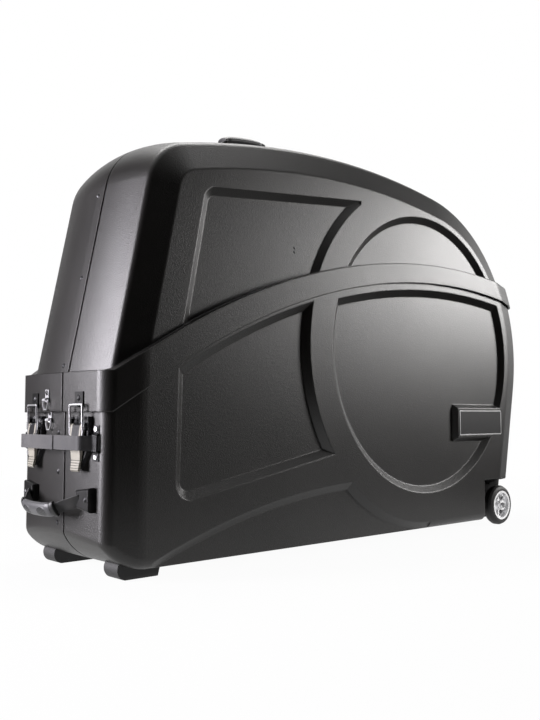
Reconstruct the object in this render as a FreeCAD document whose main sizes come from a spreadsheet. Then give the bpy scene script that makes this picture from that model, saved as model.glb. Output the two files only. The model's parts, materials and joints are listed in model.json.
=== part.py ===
import FreeCAD, Part
import math
import os
from FreeCAD import Placement, Rotation, Vector

# Hard-shell travel case for a bicycle. Millimetres, +Z up, +X towards the wheel end,
# -X the tow end with its handle, near side -Y. The case stands on two feet and two wheels.

SIZES = {
    # shells: plan and side outline
    "origin_shift": 12.88,
    "side_half": 173.0,
    "tow_x": -665.0,
    "end_crown": 1500.0,
    "corner_y": 155.0,
    "corner_drop": 66.0,
    "corner_round": 26.0,
    "corner_side_round": 60.0,
    "motif_x": 239.0,
    "motif_z": 445.0,
    "wheel_end_radius": 433.0,
    "floor_z": 18.0,
    "tow_heel_radius": 105.0,
    "tow_heel_out": 10.0,
    "wheel_heel_radius": 60.0,
    "heel_round": 20.0,
    "wall": 4.5,
    # lid
    "lid_lean_run": 71.0,
    "lid_lean_rise": 350.0,
    "lid_corner": 125.0,
    "lid_roof_radius": 2000.0,
    "lid_roof_x": -20.0,
    "lid_crown": 560.0,
    "facet_y": 147.0,
    "facet_drop": 56.0,
    "facet_edge_round": 14.0,
    "facet_side_round": 10.0,
    "skirt_flare": 7.0,
    "skirt_gap": 2.5,
    "skirt_round": 6.0,
    "edge_x": 332.0,
    "edge_z": -1032.0,
    "edge_radius": 1653.0,
    "edge_level": 299.0,
    "shoulder_x": 325.0,
    "shoulder_z": -1085.0,
    "shoulder_radius": 1752.0,
    "shoulder_level": 373.0,
    "shelf": 7.0,
    "seat_clear": 0.3,
    # pressed panels
    "panel_depth": 12.0,
    "lid_panel_depth": 10.0,
    "panel_slope": 16.0,
    "panel_corner": 34.0,
    "disc_radius": 340.0,
    "ring_radius": 410.0,
    "arch_x": 18.0,
    "arch_z": -1418.0,
    "arch_radius": 1564.0,
    "arch_reach": 620.0,
    "disc_margin": 16.0,
    "panel_margin": 7.0,
    # centre joint of the half shells
    "seam_y": -24.0,
    "seam_gap": 4.0,
    "lap_half": 24.0,
    "lap_wall": 3.5,
    # wheel pocket
    "pocket_x": 474.0,
    "pocket_top": 124.0,
    "pocket_inner": 128.0,
    # draw latches, drawn in a frame of their own: across, up, out
    "latch_y": 85.0,
    "latch_z": 243.0,
    "latch_below_edge": 62.0,
    "dish_half": 31.0,
    "dish_top": 48.0,
    "dish_hip": 8.0,
    "dish_point": 46.0,
    "dish_depth": 9.0,
    "dish_floor": 3.0,
    "dish_rim": 4.0,
    "lug_in": 23.0,
    "lug_half": 7.0,
    "lug_top": 14.0,
    "pin_up": 30.0,
    "pin_out": 9.0,
    "pin_radius": 2.5,
    "pin_clear": 0.05,
    "lever_half": 17.0,
    "lever_tip_half": 12.0,
    "lever_barrel": 5.2,
    "lever_reach": 50.0,
    "bail_up": 14.0,
    "bail_out": 13.0,
    "bail_radius": 2.0,
    "bail_half": 20.5,
    "bail_bend": 2.0,
    "wire_sides": 8.0,
    "bail_clear": 0.7,
    "rib_radius": 1.1,
    "rib_pitch": 4.6,
    "keeper_up": 67.0,
    "keeper_half": 13.0,
    "keeper_plate": 26.0,
    "keeper_gauge": 2.2,
    "keeper_nose": 4.5,
    "bail_seat": 8.0,
    "wheel_bail_seat": 15.0,
    "pad_margin": 2.0,
    "pad_depth": 6.0,
    # strap over the latches
    "strap_z": 244.0,
    "strap_width": 26.0,
    "strap_gauge": 1.8,
    "strap_out": 22.5,
    "strap_lap": 22.0,
    "strap_rise_y": 114.0,
    "strap_rise_out": 24.0,
    "strap_turn_y": 100.0,
    "strap_turn_out": 24.5,
    "strap_inner_y": 70.0,
    "anchor_y": 130.0,
    "anchor_half": 7.0,
    "anchor_gauge": 2.0,
    "anchor_bridge": 6.5,
    "anchor_window": 14.0,
    "anchor_foot": 17.0,
    "anchor_end": 32.0,
    "screw_up": 25.0,
    "screw_radius": 2.2,
    "screw_head": 4.2,
    "screw_head_rise": 2.2,
    # rivets
    "rivet_radius": 2.4,
    "rivet_head": 5.5,
    "rivet_rise": 2.4,
    "rivet_tail": 4.2,
    "rivet_tail_rise": 1.2,
    "rivet_tail_clear": 0.4,
    "bore_clear": 0.15,
    "fastener_sides": 10.0,
    # strap handles
    "handle_half": 104.0,
    "tow_handle_z": 144.0,
    "tow_handle_rise": 42.0,
    "tow_handle_droop": 30.0,
    "handle_axis_out": 8.0,
    "top_handle_x": -215.0,
    "top_handle_rise": 26.0,
    "webbing_gauge": 2.4,
    "webbing_width": 22.0,
    "grip_half": 54.0,
    "grip_gauge": 14.0,
    "grip_width": 30.0,
    "grip_round": 5.5,
    "cap_half": 22.0,
    "cap_width": 44.0,
    "cap_nose": 16.0,
    "cap_rise": 13.0,
    "cap_round": 5.0,
    "cap_slot": 5.0,
    "cap_slot_deep": 26.0,
    # padlock rings
    "ring_y": 34.0,
    "lid_ring_z": 322.0,
    "base_ring_z": 284.0,
    "tab_half": 7.0,
    "tab_rise": 20.0,
    "tab_gauge": 1.6,
    "tab_eye": 4.2,
    "ring_wire": 1.6,
    "ring_major": 9.0,
    "ring_clear": 0.35,
    # feet
    "foot_left": -618.0,
    "foot_right": -530.0,
    "foot_y": 117.0,
    "foot_width": 46.0,
    "foot_toe": 14.0,
    "foot_round": 4.0,
    "foot_screw_gap": 44.0,
    "foot_recess": 4.0,
    # wheels
    "wheel_x": 557.0,
    "wheel_radius": 52.0,
    "wheel_width": 28.0,
    "wheel_y": 157.0,
    "tyre_inner": 38.0,
    "tyre_round": 9.0,
    "hub_width": 30.0,
    "hub_bore": 5.05,
    "hub_boss": 13.0,
    "hub_rim": 5.0,
    "hub_web": 6.0,
    "spoke_half": 3.0,
    "spoke_count": 6.0,
    "axle_radius": 5.0,
    "axle_head": 8.5,
    "axle_head_rise": 3.0,
    "axle_clear": 0.4,
    "housing_wall": 3.0,
    "housing_lip": 170.0,
    "housing_right": 596.0,
    "housing_boss": 12.0,
    # plate on the near side
    "boss_left": 360.0,
    "boss_right": 620.0,
    "boss_low": 236.0,
    "boss_high": 312.0,
    "boss_slope": 9.0,
    "badge_margin": 6.0,
    "badge_long": 190.0,
    "badge_gauge": 1.2,
    "badge_corner": 4.0,
    "badge_round": 0.5,
    # side rivets of the lid and the plate behind them
    "side_rivet_x": -204.0,
    "side_rivet_z": 646.0,
    "side_rivet_gap": 9.0,
    "side_rivet_radius": 1.6,
    "side_rivet_head": 3.4,
    "backing_gauge": 2.0,
    "backing_half": 12.0,
    # carrier inside
    "rail_length": 900.0,
    "rail_x": -20.0,
    "rail_half": 34.0,
    "rail_tall": 20.0,
    "rail_slot": 5.0,
    "rail_slot_wide": 9.0,
    "rail_lip": 3.0,
    "slider_half": 42.0,
    "slider_skirt": 5.0,
    "slider_plate": 6.0,
    "slider_clear": 0.3,
    "slider_drop": 9.0,
    "fork_x": -380.0,
    "fork_long": 70.0,
    "fork_half": 48.0,
    "fork_tall": 62.0,
    "fork_cheek": 6.0,
    "fork_tube": 11.0,
    "skewer_radius": 4.5,
    "skewer_clear": 0.05,
    "skewer_stick": 24.0,
    "skewer_nut": 9.0,
    "skewer_nut_long": 10.0,
    "cam_radius": 8.0,
    "cam_width": 9.0,
    "cam_arm": 52.0,
    "cam_pin": 3.0,
    "cradle_x": 40.0,
    "cradle_long": 90.0,
    "cradle_tall": 54.0,
    "cradle_half": 36.0,
    "cradle_notch": 24.0,
    "pad_gauge": 6.0,
    "rail_bolt_end": 40.0,
    "rail_bolt_head": 5.0,
    "rail_bolt_rise": 3.5,
    "overrun": 2.0,
    "reach": 1500.0,
}

doc = FreeCAD.newDocument("travel_case")
sheet = doc.addObject("Spreadsheet::Sheet", "Sizes")
for row, (alias, value) in enumerate(SIZES.items(), start=1):
    sheet.set("A%d" % row, alias)
    sheet.set("B%d" % row, repr(value))
    sheet.setAlias("B%d" % row, alias)
doc.recompute()


class Sizes:
    """Reads a driving size from the sheet by its alias."""

    def __getattr__(self, alias):
        return float(sheet.get(alias))


S = Sizes()
Y_AXIS = Vector(0, 1, 0)
PARTS = []


def xz(x, z, y=0.0):
    return Vector(x, y, z)


def polar(cx, cz, radius, angle):
    return xz(cx + radius * math.cos(angle), cz + radius * math.sin(angle))


def line(a, b):
    return Part.LineSegment(a, b).toShape()


def arc(a, mid, b):
    return Part.Arc(a, mid, b).toShape()


def arc_about(cx, cz, radius, start, end):
    """Arc in the XZ plane from one angle to another about a centre."""
    mid = 0.5 * (start + end)
    return arc(polar(cx, cz, radius, start), polar(cx, cz, radius, mid), polar(cx, cz, radius, end))


def nested_centre(point, along, inward, centre, big, small):
    """Centre of a circle that touches a line and, from inside, a larger circle."""
    p = point + inward * small - centre
    b = p.dot(along)
    c = p.dot(p) - (big - small) ** 2
    return point + inward * small + along * (-b + math.sqrt(b * b - c))


def y_cylinder(cx, cz, radius):
    base = xz(cx, cz, -S.reach)
    return Part.makeCylinder(radius, 2 * S.reach, base, Y_AXIS)


def span_box(low, high):
    size = high - low
    return Part.makeBox(size.x, size.y, size.z, low)


def prism(edges, half):
    """Solid between -half and half in Y of a closed outline in the XZ plane."""
    face = Part.Face(Part.Wire(Part.__sortEdges__(edges)))
    solid = face.extrude(Y_AXIS * (2 * half))
    solid.translate(Vector(0, -half, 0))
    return solid


# Sections of the walls: crown, slanting corner facet and flat side, edges rounded.
# Points are (across, depth), depth counted inwards from the crown of the wall.

def crowned_section(half, crown, facet, rounds, inset, depth):
    """Corners of half a section; facet is its start across and its drop, rounds its two edges."""
    crown_c = Vector(0, crown, 0)
    crown_r = crown - inset
    start = Vector(facet[0], crown - math.sqrt(crown ** 2 - facet[0] ** 2), 0)
    end = Vector(half, start.y + facet[1], 0)
    along = (start - end).normalize()
    inward = Vector(-along.y, along.x, 0)
    if inward.x > 0:
        inward = inward * -1
    foot = end + inward * inset
    r1 = rounds[0] - inset
    c1 = nested_centre(foot, along, inward, crown_c, crown_r, r1)
    on_crown = crown_c + (c1 - crown_c).normalize() * crown_r
    on_facet = c1 - inward * r1
    mid1 = c1 + ((on_crown - c1) + (on_facet - c1)).normalize() * r1
    r2 = rounds[1] - inset
    side = half - inset
    run = (side - foot.x - r2 - inward.x * r2) / along.x
    c2 = foot + inward * r2 + along * run
    low_facet = c2 - inward * r2
    on_side = c2 + Vector(r2, 0, 0)
    mid2 = c2 + ((low_facet - c2) + (on_side - c2)).normalize() * r2
    return [on_crown, mid1, on_facet, low_facet, mid2, on_side, Vector(side, depth, 0)]


def end_section(inset, depth):
    facet = (S.corner_y, S.corner_drop)
    rounds = (S.corner_round, S.corner_side_round)
    return crowned_section(S.side_half, S.end_crown, facet, rounds, inset, depth)


def lid_section(inset, depth):
    facet = (S.facet_y, S.facet_drop)
    rounds = (S.facet_edge_round, S.facet_side_round)
    return crowned_section(S.side_half - S.wall, S.lid_crown, facet, rounds, inset, depth)


def section_face(points, origin, inwards):
    """Place a symmetric section in space; points are edges as lists of 2 or 3 corners."""
    def spot(p):
        return origin + Vector(0, p[0], 0) + inwards * p[1]
    edges = []
    for chain in points:
        if len(chain) == 2:
            edges.append(line(spot(chain[0]), spot(chain[1])))
        else:
            edges.append(arc(spot(chain[0]), spot(chain[1]), spot(chain[2])))
    return Part.Face(Part.Wire(Part.__sortEdges__(edges)))


def flip(p):
    return (-p[0], p[1])


def mirrored_chains(chains):
    return chains + [[flip(p) for p in chain] for chain in chains]


def crowned_face(section, inset, origin, inwards):
    p = [(v.x, v.y) for v in section]
    half = [[p[0], p[1], p[2]], [p[2], p[3]], [p[3], p[4], p[5]], [p[5], p[6]]]
    chains = mirrored_chains(half)
    chains.append([flip(p[0]), (0.0, inset), p[0]])
    chains.append([flip(p[6]), p[6]])
    return section_face(chains, origin, inwards)


def end_face(inset, depth, origin, inwards):
    return crowned_face(end_section(inset, depth), inset, origin, inwards)


def lid_face(inset, depth, origin, inwards):
    return crowned_face(lid_section(inset, depth), inset, origin, inwards)


def wheel_end_lean():
    return math.atan2(S.wheel_end_radius - S.disc_radius, S.wheel_end_radius + S.wheel_heel_radius)


def end_walls(inset):
    """Case body between crowned end walls, open-ended below and above."""
    depth = end_section(0.0, 0.0)[5].y + 2 * S.wall
    low = -S.wheel_end_radius
    tow = end_face(inset, depth, xz(S.tow_x, low), Vector(1, 0, 0))
    tow = tow.extrude(Vector(0, 0, S.motif_z + S.wheel_end_radius - low))
    start = -wheel_end_lean()
    rise = math.radians(60)
    out = Vector(math.cos(start), 0, math.sin(start))
    spot = polar(S.motif_x, S.motif_z, S.wheel_end_radius, start)
    face = end_face(inset, depth, spot, out * -1)
    turn = face.revolve(xz(S.motif_x, S.motif_z), Vector(0, -1, 0), math.degrees(rise - start))
    down = Vector(math.sin(start), 0, -math.cos(start))
    drop = face.extrude(down * (S.wheel_end_radius + S.motif_z))
    inner = S.wheel_end_radius - depth + S.wall
    end = polar(S.motif_x, S.motif_z, inner, start)
    foot = end + down * (S.wheel_end_radius + S.motif_z)
    top = polar(S.motif_x, S.motif_z, inner, rise)
    left = S.tow_x + depth - S.wall
    edges = [arc_about(S.motif_x, S.motif_z, inner, start, rise), line(end, foot),
             line(foot, xz(left, foot.z)), line(xz(left, foot.z), xz(left, top.z)),
             line(xz(left, top.z), top)]
    core = prism(edges, S.side_half - inset)
    return core.multiFuse([tow, turn, drop]).removeSplitter()


def toe_centre():
    """Centre of the round toe under the wheel end."""
    lean = wheel_end_lean()
    out = Vector(math.cos(lean), 0, -math.sin(lean))
    down = Vector(-math.sin(lean), 0, -math.cos(lean))
    grip = xz(S.motif_x, S.motif_z) + out * (S.wheel_end_radius + S.tow_heel_out - S.wheel_heel_radius)
    return grip + down * ((grip.z - S.floor_z - S.wheel_heel_radius) / math.cos(lean))


def base_solid(inset):
    """Closed outer form of the base, grown inwards by an inset."""
    body = end_walls(inset)
    floor = S.floor_z + inset
    heel = S.tow_heel_radius - inset
    heel_x = S.tow_x - S.tow_heel_out + S.tow_heel_radius
    heel_z = S.floor_z + S.tow_heel_radius
    toe = S.wheel_heel_radius - inset
    lean = wheel_end_lean()
    out = Vector(math.cos(lean), 0, -math.sin(lean))
    toe_c = toe_centre()
    top = S.motif_z + S.wheel_end_radius
    turn = -math.atan2(out.z, out.x)
    left = heel_x - heel
    toe_out = toe_c + out * toe
    edges = [arc_about(heel_x, heel_z, heel, math.pi, 1.5 * math.pi),
             line(xz(heel_x, floor), xz(toe_c.x, floor)),
             arc_about(toe_c.x, toe_c.z, toe, -math.pi / 2, -turn),
             line(toe_out, toe_out + out * S.reach), line(toe_out + out * S.reach, xz(S.reach, top)),
             line(xz(S.reach, top), xz(left, top)), line(xz(left, top), xz(left, heel_z))]
    body = body.common(prism(edges, S.side_half + S.overrun))
    rim = S.shoulder_radius - S.shelf - S.seat_clear
    return body.common(below(S.shoulder_x, S.shoulder_z, rim, S.shoulder_level - S.shelf - S.seat_clear))


def below(cx, cz, radius, level):
    """Space under a long arch that turns level towards the tow end."""
    low = Vector(-S.reach, -S.reach, -S.reach)
    slab = span_box(low, Vector(S.reach, S.reach, level))
    return y_cylinder(cx, cz, radius).fuse(slab)


def heel_edges(shape):
    """Edges where the floor and its heels meet the walls."""
    chosen = []
    for edge in shape.Edges:
        box = edge.BoundBox
        upright = box.ZMax > S.floor_z + S.tow_heel_radius
        across = box.YMin < 0 < box.YMax and box.XMax - box.XMin < S.wall
        if not upright and not across:
            chosen.append(edge)
    return chosen


def base_form(inset):
    solid = base_solid(inset)
    return solid.makeFillet(S.heel_round - inset, heel_edges(solid))


def lid_outline():
    """Centre outline of the lid: leaning tow end, round corner, long roof, wheel-end arc."""
    lean = math.atan2(S.lid_lean_run, S.lid_lean_rise)
    along = Vector(math.sin(lean), 0, math.cos(lean))
    inward = Vector(math.cos(lean), 0, -math.sin(lean))
    foot = xz(S.tow_x + S.wall, S.shoulder_level)
    end_r = S.wheel_end_radius - S.wall
    gap = S.lid_roof_radius - end_r
    roof = xz(S.lid_roof_x, S.motif_z - math.sqrt(gap ** 2 - (S.motif_x - S.lid_roof_x) ** 2))
    corner = nested_centre(foot, along, inward, roof, S.lid_roof_radius, S.lid_corner)
    to_end = (xz(S.motif_x, S.motif_z) - roof).normalize()
    to_corner = (corner - roof).normalize()
    return {"along": along, "inward": inward, "foot": foot, "corner": corner, "roof": roof,
            "end_r": end_r, "end_turn": math.atan2(to_end.z, to_end.x),
            "corner_turn": math.atan2(to_corner.z, to_corner.x),
            "wall_turn": math.atan2(-inward.z, -inward.x)}


def lid_form(inset):
    """Closed outer form of the lid above its skirt, grown inwards by an inset."""
    o = lid_outline()
    deep = lid_section(0.0, 0.0)[5].y
    depth = deep + 2 * S.wall
    core_in = depth - S.wall
    corner = o["corner"]
    roof = o["roof"]
    wall_foot = corner - o["inward"] * S.lid_corner
    start = wall_foot - o["along"] * S.lid_roof_radius / 4
    pieces = []
    face = lid_face(inset, depth, start, o["inward"])
    pieces.append(face.extrude(wall_foot - start))
    face = lid_face(inset, depth, wall_foot, o["inward"])
    bend = o["wall_turn"] - o["corner_turn"]
    pieces.append(face.revolve(corner, Y_AXIS, math.degrees(bend)))
    spot = polar(roof.x, roof.z, S.lid_roof_radius, o["corner_turn"])
    face = lid_face(inset, depth, spot, (roof - spot).normalize())
    sweep = o["corner_turn"] - o["end_turn"]
    pieces.append(face.revolve(roof, Y_AXIS, math.degrees(sweep)))
    motif = xz(S.motif_x, S.motif_z)
    spot = polar(motif.x, motif.z, o["end_r"], o["end_turn"])
    face = lid_face(inset, depth, spot, (motif - spot).normalize())
    last = -wheel_end_lean()
    pieces.append(face.revolve(motif, Y_AXIS, math.degrees(o["end_turn"] - last)))
    a = start + o["inward"] * core_in
    b = wall_foot + o["inward"] * core_in
    corner_in = S.lid_corner - core_in
    end_in = o["end_r"] - core_in
    z = polar(motif.x, motif.z, end_in, last)
    edges = [line(a, b), arc_about(corner.x, corner.z, corner_in, o["wall_turn"], o["corner_turn"]),
             arc_about(roof.x, roof.z, S.lid_roof_radius - core_in, o["corner_turn"], o["end_turn"]),
             arc_about(motif.x, motif.z, end_in, o["end_turn"], last), line(z, a)]
    core = prism(edges, S.side_half - S.wall - inset)
    return core.multiFuse(pieces).removeSplitter()


# Pressed panels of the sides. Each is a tool whose walls slope in from the rim to the floor.

def side_cone(cx, cz, radius, slope, plane, depth):
    """Round tool on the near side; a negative slope widens it towards the floor."""
    grade = slope / depth
    rim = radius + grade * S.overrun
    base = xz(cx, cz, -plane - S.overrun)
    return Part.makeCone(rim, radius - slope, depth + S.overrun, base, Y_AXIS)


def offset_polygon(points, inset):
    """Polygon with every edge moved inwards; points run anticlockwise."""
    moved = []
    count = len(points)
    for k in range(count):
        before, here, after = points[k - 1], points[k], points[(k + 1) % count]
        d1 = (here - before).normalize()
        d2 = (after - here).normalize()
        n1 = Vector(-d1.z, 0, d1.x)
        n2 = Vector(-d2.z, 0, d2.x)
        half = (n1 + n2) * (inset / (1.0 + n1.dot(n2)))
        moved.append(here + half)
    return moved


def rounded_ring(points, corners, radius):
    """Closed wire through anticlockwise points, the listed corners rounded."""
    spans = []
    count = len(points)
    for k, here in enumerate(points):
        d1 = (here - points[k - 1]).normalize()
        d2 = (points[(k + 1) % count] - here).normalize()
        if k not in corners:
            spans.append((here, None, here))
            continue
        n1, n2 = Vector(-d1.z, 0, d1.x), Vector(-d2.z, 0, d2.x)
        back = radius * math.tan(0.5 * math.acos(max(-1.0, min(1.0, d1.dot(d2)))))
        start = here - d1 * back
        centre = start + n1 * radius
        spans.append((start, centre - (n1 + n2).normalize() * radius, here + d2 * back))
    edges = []
    for k, (start, mid, end) in enumerate(spans):
        if mid:
            edges.append(arc(start, mid, end))
        edges.append(line(end, spans[(k + 1) % count][0]))
    return Part.Wire(edges)


def side_slab(shares, plane, depth, corners):
    """Tool with straight sloping walls and some round corners, cut to a depth in the near side."""
    long = S.motif_x + S.wheel_end_radius - S.tow_x
    tall = S.motif_z + S.wheel_end_radius
    rim = [xz(px * long, pz * tall) for px, pz in shares]
    grade = S.panel_slope / depth
    rings = []
    for inset, y in ((-grade * S.overrun, -plane - S.overrun), (S.panel_slope, -plane + depth)):
        ring = [p + Vector(0, y, 0) for p in offset_polygon(rim, inset)]
        rings.append(rounded_ring(ring, corners, S.panel_corner - inset))
    return Part.makeLoft(rings, True, True)


PANEL_A_SHARES = ((-0.389, 0.146), (0.0, 0.2585), (0.0, 0.683), (-0.380, 0.683))
PANEL_B_SHARES = ((-0.3987, 0.3417), (0.0, 0.3417), (0.0, 0.8964), (-0.3366, 0.8394))


def plate_boss():
    """Raised land in the disc, level with the ring, that carries the side plate."""
    plane, depth = S.side_half, S.panel_depth
    grade = S.boss_slope / depth
    rings = []
    for grow, y in ((-grade * S.overrun, -plane - S.overrun), (S.boss_slope, -plane + depth)):
        left, right = S.boss_left - grow, S.boss_right + grow
        low, high = S.boss_low - grow, S.boss_high + grow
        spots = [xz(left, low, y), xz(right, low, y), xz(right, high, y), xz(left, high, y)]
        rings.append(Part.makePolygon(spots + spots[:1]))
    return Part.makeLoft(rings, True, True)


def near_base_tools():
    plane, depth, slope = S.side_half, S.panel_depth, S.panel_slope
    disc_top = side_cone(S.edge_x, S.edge_z, S.edge_radius - S.disc_margin, slope, plane, depth)
    panel_top = side_cone(S.edge_x, S.edge_z, S.edge_radius - S.panel_margin, slope, plane, depth)
    outside = side_cone(S.motif_x, S.motif_z, S.ring_radius, -slope, plane, depth)
    disc = side_cone(S.motif_x, S.motif_z, S.disc_radius, slope, plane, depth).common(disc_top)
    panel = side_slab(PANEL_A_SHARES, plane, depth, (0,)).common(panel_top).cut(outside)
    arch = side_cone(S.arch_x, S.arch_z, S.arch_radius, slope, plane, depth)
    low = Vector(S.arch_x - S.arch_reach, -plane - 2 * S.overrun, -S.overrun)
    high = Vector(S.motif_x, -plane + 2 * depth, S.motif_z)
    arch = arch.common(span_box(low, high)).cut(outside)
    return [disc, panel, arch]


def near_lid_tools():
    plane, depth, slope = S.side_half - S.wall, S.lid_panel_depth, S.panel_slope
    outside = side_cone(S.motif_x, S.motif_z, S.ring_radius, -slope, plane, depth)
    disc = side_cone(S.motif_x, S.motif_z, S.disc_radius, slope, plane, depth)
    panel = side_slab(PANEL_B_SHARES, plane, depth, (3,)).cut(outside)
    return [disc, panel]


def wheel_pocket(grow):
    low = Vector(S.pocket_x - grow, -S.reach, -S.reach)
    return span_box(low, Vector(S.reach, -S.pocket_inner + grow, S.pocket_top + grow))


def both_sides(tools, shift, boss=None):
    """The near-side tools moved inwards by a shift, and their mirror images."""
    result = []
    for tool in tools:
        near = tool.copy()
        far = tool.mirror(Vector(0, 0, 0), Y_AXIS)
        if boss and near.BoundBox.intersect(boss.BoundBox):
            near = near.cut(boss)
        near.translate(Vector(0, shift, 0))
        far.translate(Vector(0, -shift, 0))
        result += [near, far]
    return result


def base_shell(outer, inner):
    tools = near_base_tools()
    boss = plate_boss()
    outer = outer.cut(both_sides(tools, 0.0, boss) + both_sides([wheel_pocket(0.0)], 0.0))
    inner = inner.cut(both_sides(tools, S.wall, boss) + both_sides([wheel_pocket(S.wall)], 0.0))
    lift = inner.copy()
    lift.translate(Vector(0, 0, S.overrun))
    rim = S.shoulder_radius - S.shelf - S.seat_clear - S.shelf
    cap = lift.cut(below(S.shoulder_x, S.shoulder_z, rim, S.shoulder_level - 2 * S.shelf))
    return outer.cut([inner, cap])


def lid_shell(cover):
    tools = near_lid_tools()
    top = S.shoulder_radius
    level = S.shoulder_level
    step = S.shelf / 2
    cover = cover.cut(both_sides(tools, 0.0))
    cover = cover.cut(below(S.shoulder_x, S.shoulder_z, top - step, level - step))
    skirt = end_walls(-S.skirt_flare).common(below(S.shoulder_x, S.shoulder_z, top, level))
    skirt = skirt.cut(below(S.edge_x, S.edge_z, S.edge_radius, S.edge_level))
    outer = cover.fuse(skirt)
    hollow = lid_form(S.wall).cut(both_sides(tools, S.wall))
    socket = end_walls(-S.skirt_gap)
    socket = socket.common(below(S.shoulder_x, S.shoulder_z, top - S.shelf, level - S.shelf))
    return outer.cut([hollow, socket])


# Frames for the fittings: origin on the wall, second axis up the wall, third axis out of it.

def fitting_frame(origin, up, out):
    return Placement(origin, Rotation(up.cross(out), up, out, "ZYX"))


def tow_frame(y, z, off=0.0):
    tilt = math.asin(y / S.end_crown)
    out = Vector(-math.cos(tilt), math.sin(tilt), 0)
    centre = xz(S.tow_x + S.end_crown, z)
    return fitting_frame(centre + out * (S.end_crown + off), Vector(0, 0, 1), out)


def wheel_frame(y, turn, off=0.0):
    tilt = math.asin(y / S.end_crown)
    radial = Vector(math.cos(turn), 0, math.sin(turn))
    out = radial * math.cos(tilt) + Y_AXIS * math.sin(tilt)
    centre = xz(S.motif_x, S.motif_z) + radial * (S.wheel_end_radius - S.end_crown)
    up = Vector(-math.sin(turn), 0, math.cos(turn))
    return fitting_frame(centre + out * (S.end_crown + off), up, out)


def edge_turn():
    """Angle about the motif centre where the lid's edge crosses the wheel end."""
    gap = math.hypot(S.motif_x - S.edge_x, S.motif_z - S.edge_z)
    lean = math.atan2(S.motif_x - S.edge_x, S.motif_z - S.edge_z)
    cosine = (gap ** 2 + S.wheel_end_radius ** 2 - S.edge_radius ** 2) / (2 * gap * S.wheel_end_radius)
    return math.acos(cosine) - math.pi / 2 - lean


def moved(placement, x, y, z):
    return placement.multiply(Placement(Vector(x, y, z), Rotation()))


def latch_sites():
    """Name, frames of the dish and the keeper, and seat of the bail of each latch."""
    step = S.latch_below_edge / S.wheel_end_radius
    up = S.keeper_up / S.wheel_end_radius
    sites = []
    for name, y in (("near", -S.latch_y), ("far", S.latch_y)):
        dish = tow_frame(y, S.latch_z)
        sites.append(("tow_" + name, dish, moved(dish, 0, S.keeper_up, S.skirt_flare), S.bail_seat))
    for name, y in (("near", -S.latch_y), ("far", S.latch_y)):
        turn = edge_turn() - step
        keeper = wheel_frame(y, turn + up, S.skirt_flare)
        sites.append(("wheel_" + name, wheel_frame(y, turn), keeper, S.wheel_bail_seat))
    return sites


ORIGIN = Placement(Vector(S.origin_shift, 0, 0), Rotation())


def keep(obj, label, placement=Placement()):
    obj.Label = label
    obj.Placement = ORIGIN.multiply(placement)
    PARTS.append(obj)
    return obj


def keep_shape(label, shape, placement=Placement()):
    """A formed piece that has no history of simple features."""
    obj = doc.addObject("Part::Feature", label)
    obj.Shape = shape
    return keep(obj, label, placement)


def placed(shape, placement):
    copy = shape.copy()
    copy.Placement = placement.multiply(copy.Placement)
    return copy


# Bodies built of sketches

def new_body(label):
    return doc.addObject("PartDesign::Body", label)


def sketch(body, role, loops, lift=0.0):
    """Sketch on one of the body's own planes; a loop is a list of corner tuples."""
    item = body.newObject("Sketcher::SketchObject", body.Name + "_sketch")
    plane = [f for f in body.Origin.OriginFeatures if f.Role == role][0]
    item.AttachmentSupport = [(plane, "")]
    item.MapMode = "FlatFace"
    item.AttachmentOffset = Placement(Vector(0, 0, lift), Rotation())
    for loop in loops:
        for geometry in loop:
            item.addGeometry(geometry, False)
    doc.recompute()
    return item


def seg(a, b):
    return Part.LineSegment(Vector(a[0], a[1], 0), Vector(b[0], b[1], 0))


def bow(a, mid, b):
    return Part.Arc(Vector(a[0], a[1], 0), Vector(mid[0], mid[1], 0), Vector(b[0], b[1], 0))


def loop_of(points):
    return [seg(points[k - 1], points[k]) for k in range(len(points))]


def ring_of(x, y, radius):
    """Round hole with few flats; the circle touches each of them from inside."""
    count = int(S.fastener_sides)
    wide = radius / math.cos(math.pi / count)
    turns = [2 * math.pi * k / count for k in range(count)]
    return loop_of([(x + wide * math.cos(t), y + wide * math.sin(t)) for t in turns])


def rectangle(x0, y0, x1, y1):
    return loop_of([(x0, y0), (x1, y0), (x1, y1), (x0, y1)])


def pad(body, profile, length, symmetric=False, reverse=False):
    item = body.newObject("PartDesign::Pad", body.Name + "_pad")
    item.Profile = profile
    item.setExpression("Length", length)
    item.SideType = "Symmetric" if symmetric else "One side"
    item.Reversed = reverse
    doc.recompute()
    return item


def pocket(body, profile, length, symmetric=False, reverse=False):
    """Cut; the volume has to fall, or the cut points the wrong way."""
    before = body.Shape.Volume
    item = body.newObject("PartDesign::Pocket", body.Name + "_pocket")
    item.Profile = profile
    item.setExpression("Length", length)
    item.SideType = "Symmetric" if symmetric else "One side"
    item.Reversed = reverse
    doc.recompute()
    if body.Shape.Volume >= before:
        raise RuntimeError("cut misses " + body.Name)
    return item


def bevel_edges(body, feature, size, pick):
    names = []
    for index, edge in enumerate(feature.Shape.Edges, start=1):
        if pick(edge):
            names.append("Edge%d" % index)
    item = body.newObject("PartDesign::Chamfer", body.Name + "_bevel")
    item.Base = (feature, names)
    item.setExpression("Size", size)
    doc.recompute()
    return item


SHIELD_SIDE_SHARE = 0.42
SHIELD_BULGE_SHARE = 0.68


def shield(half, top, hip, point):
    """Shield outline: straight top and flanks, bowed sides down to a point."""
    side = hip + SHIELD_SIDE_SHARE * (point - hip)
    bulge = SHIELD_BULGE_SHARE * half
    return [seg((-half, top), (half, top)), seg((half, top), (half, -hip)),
            bow((half, -hip), (bulge, -side), (0, -point)),
            bow((0, -point), (-bulge, -side), (-half, -hip)), seg((-half, -hip), (-half, top))]


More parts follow.
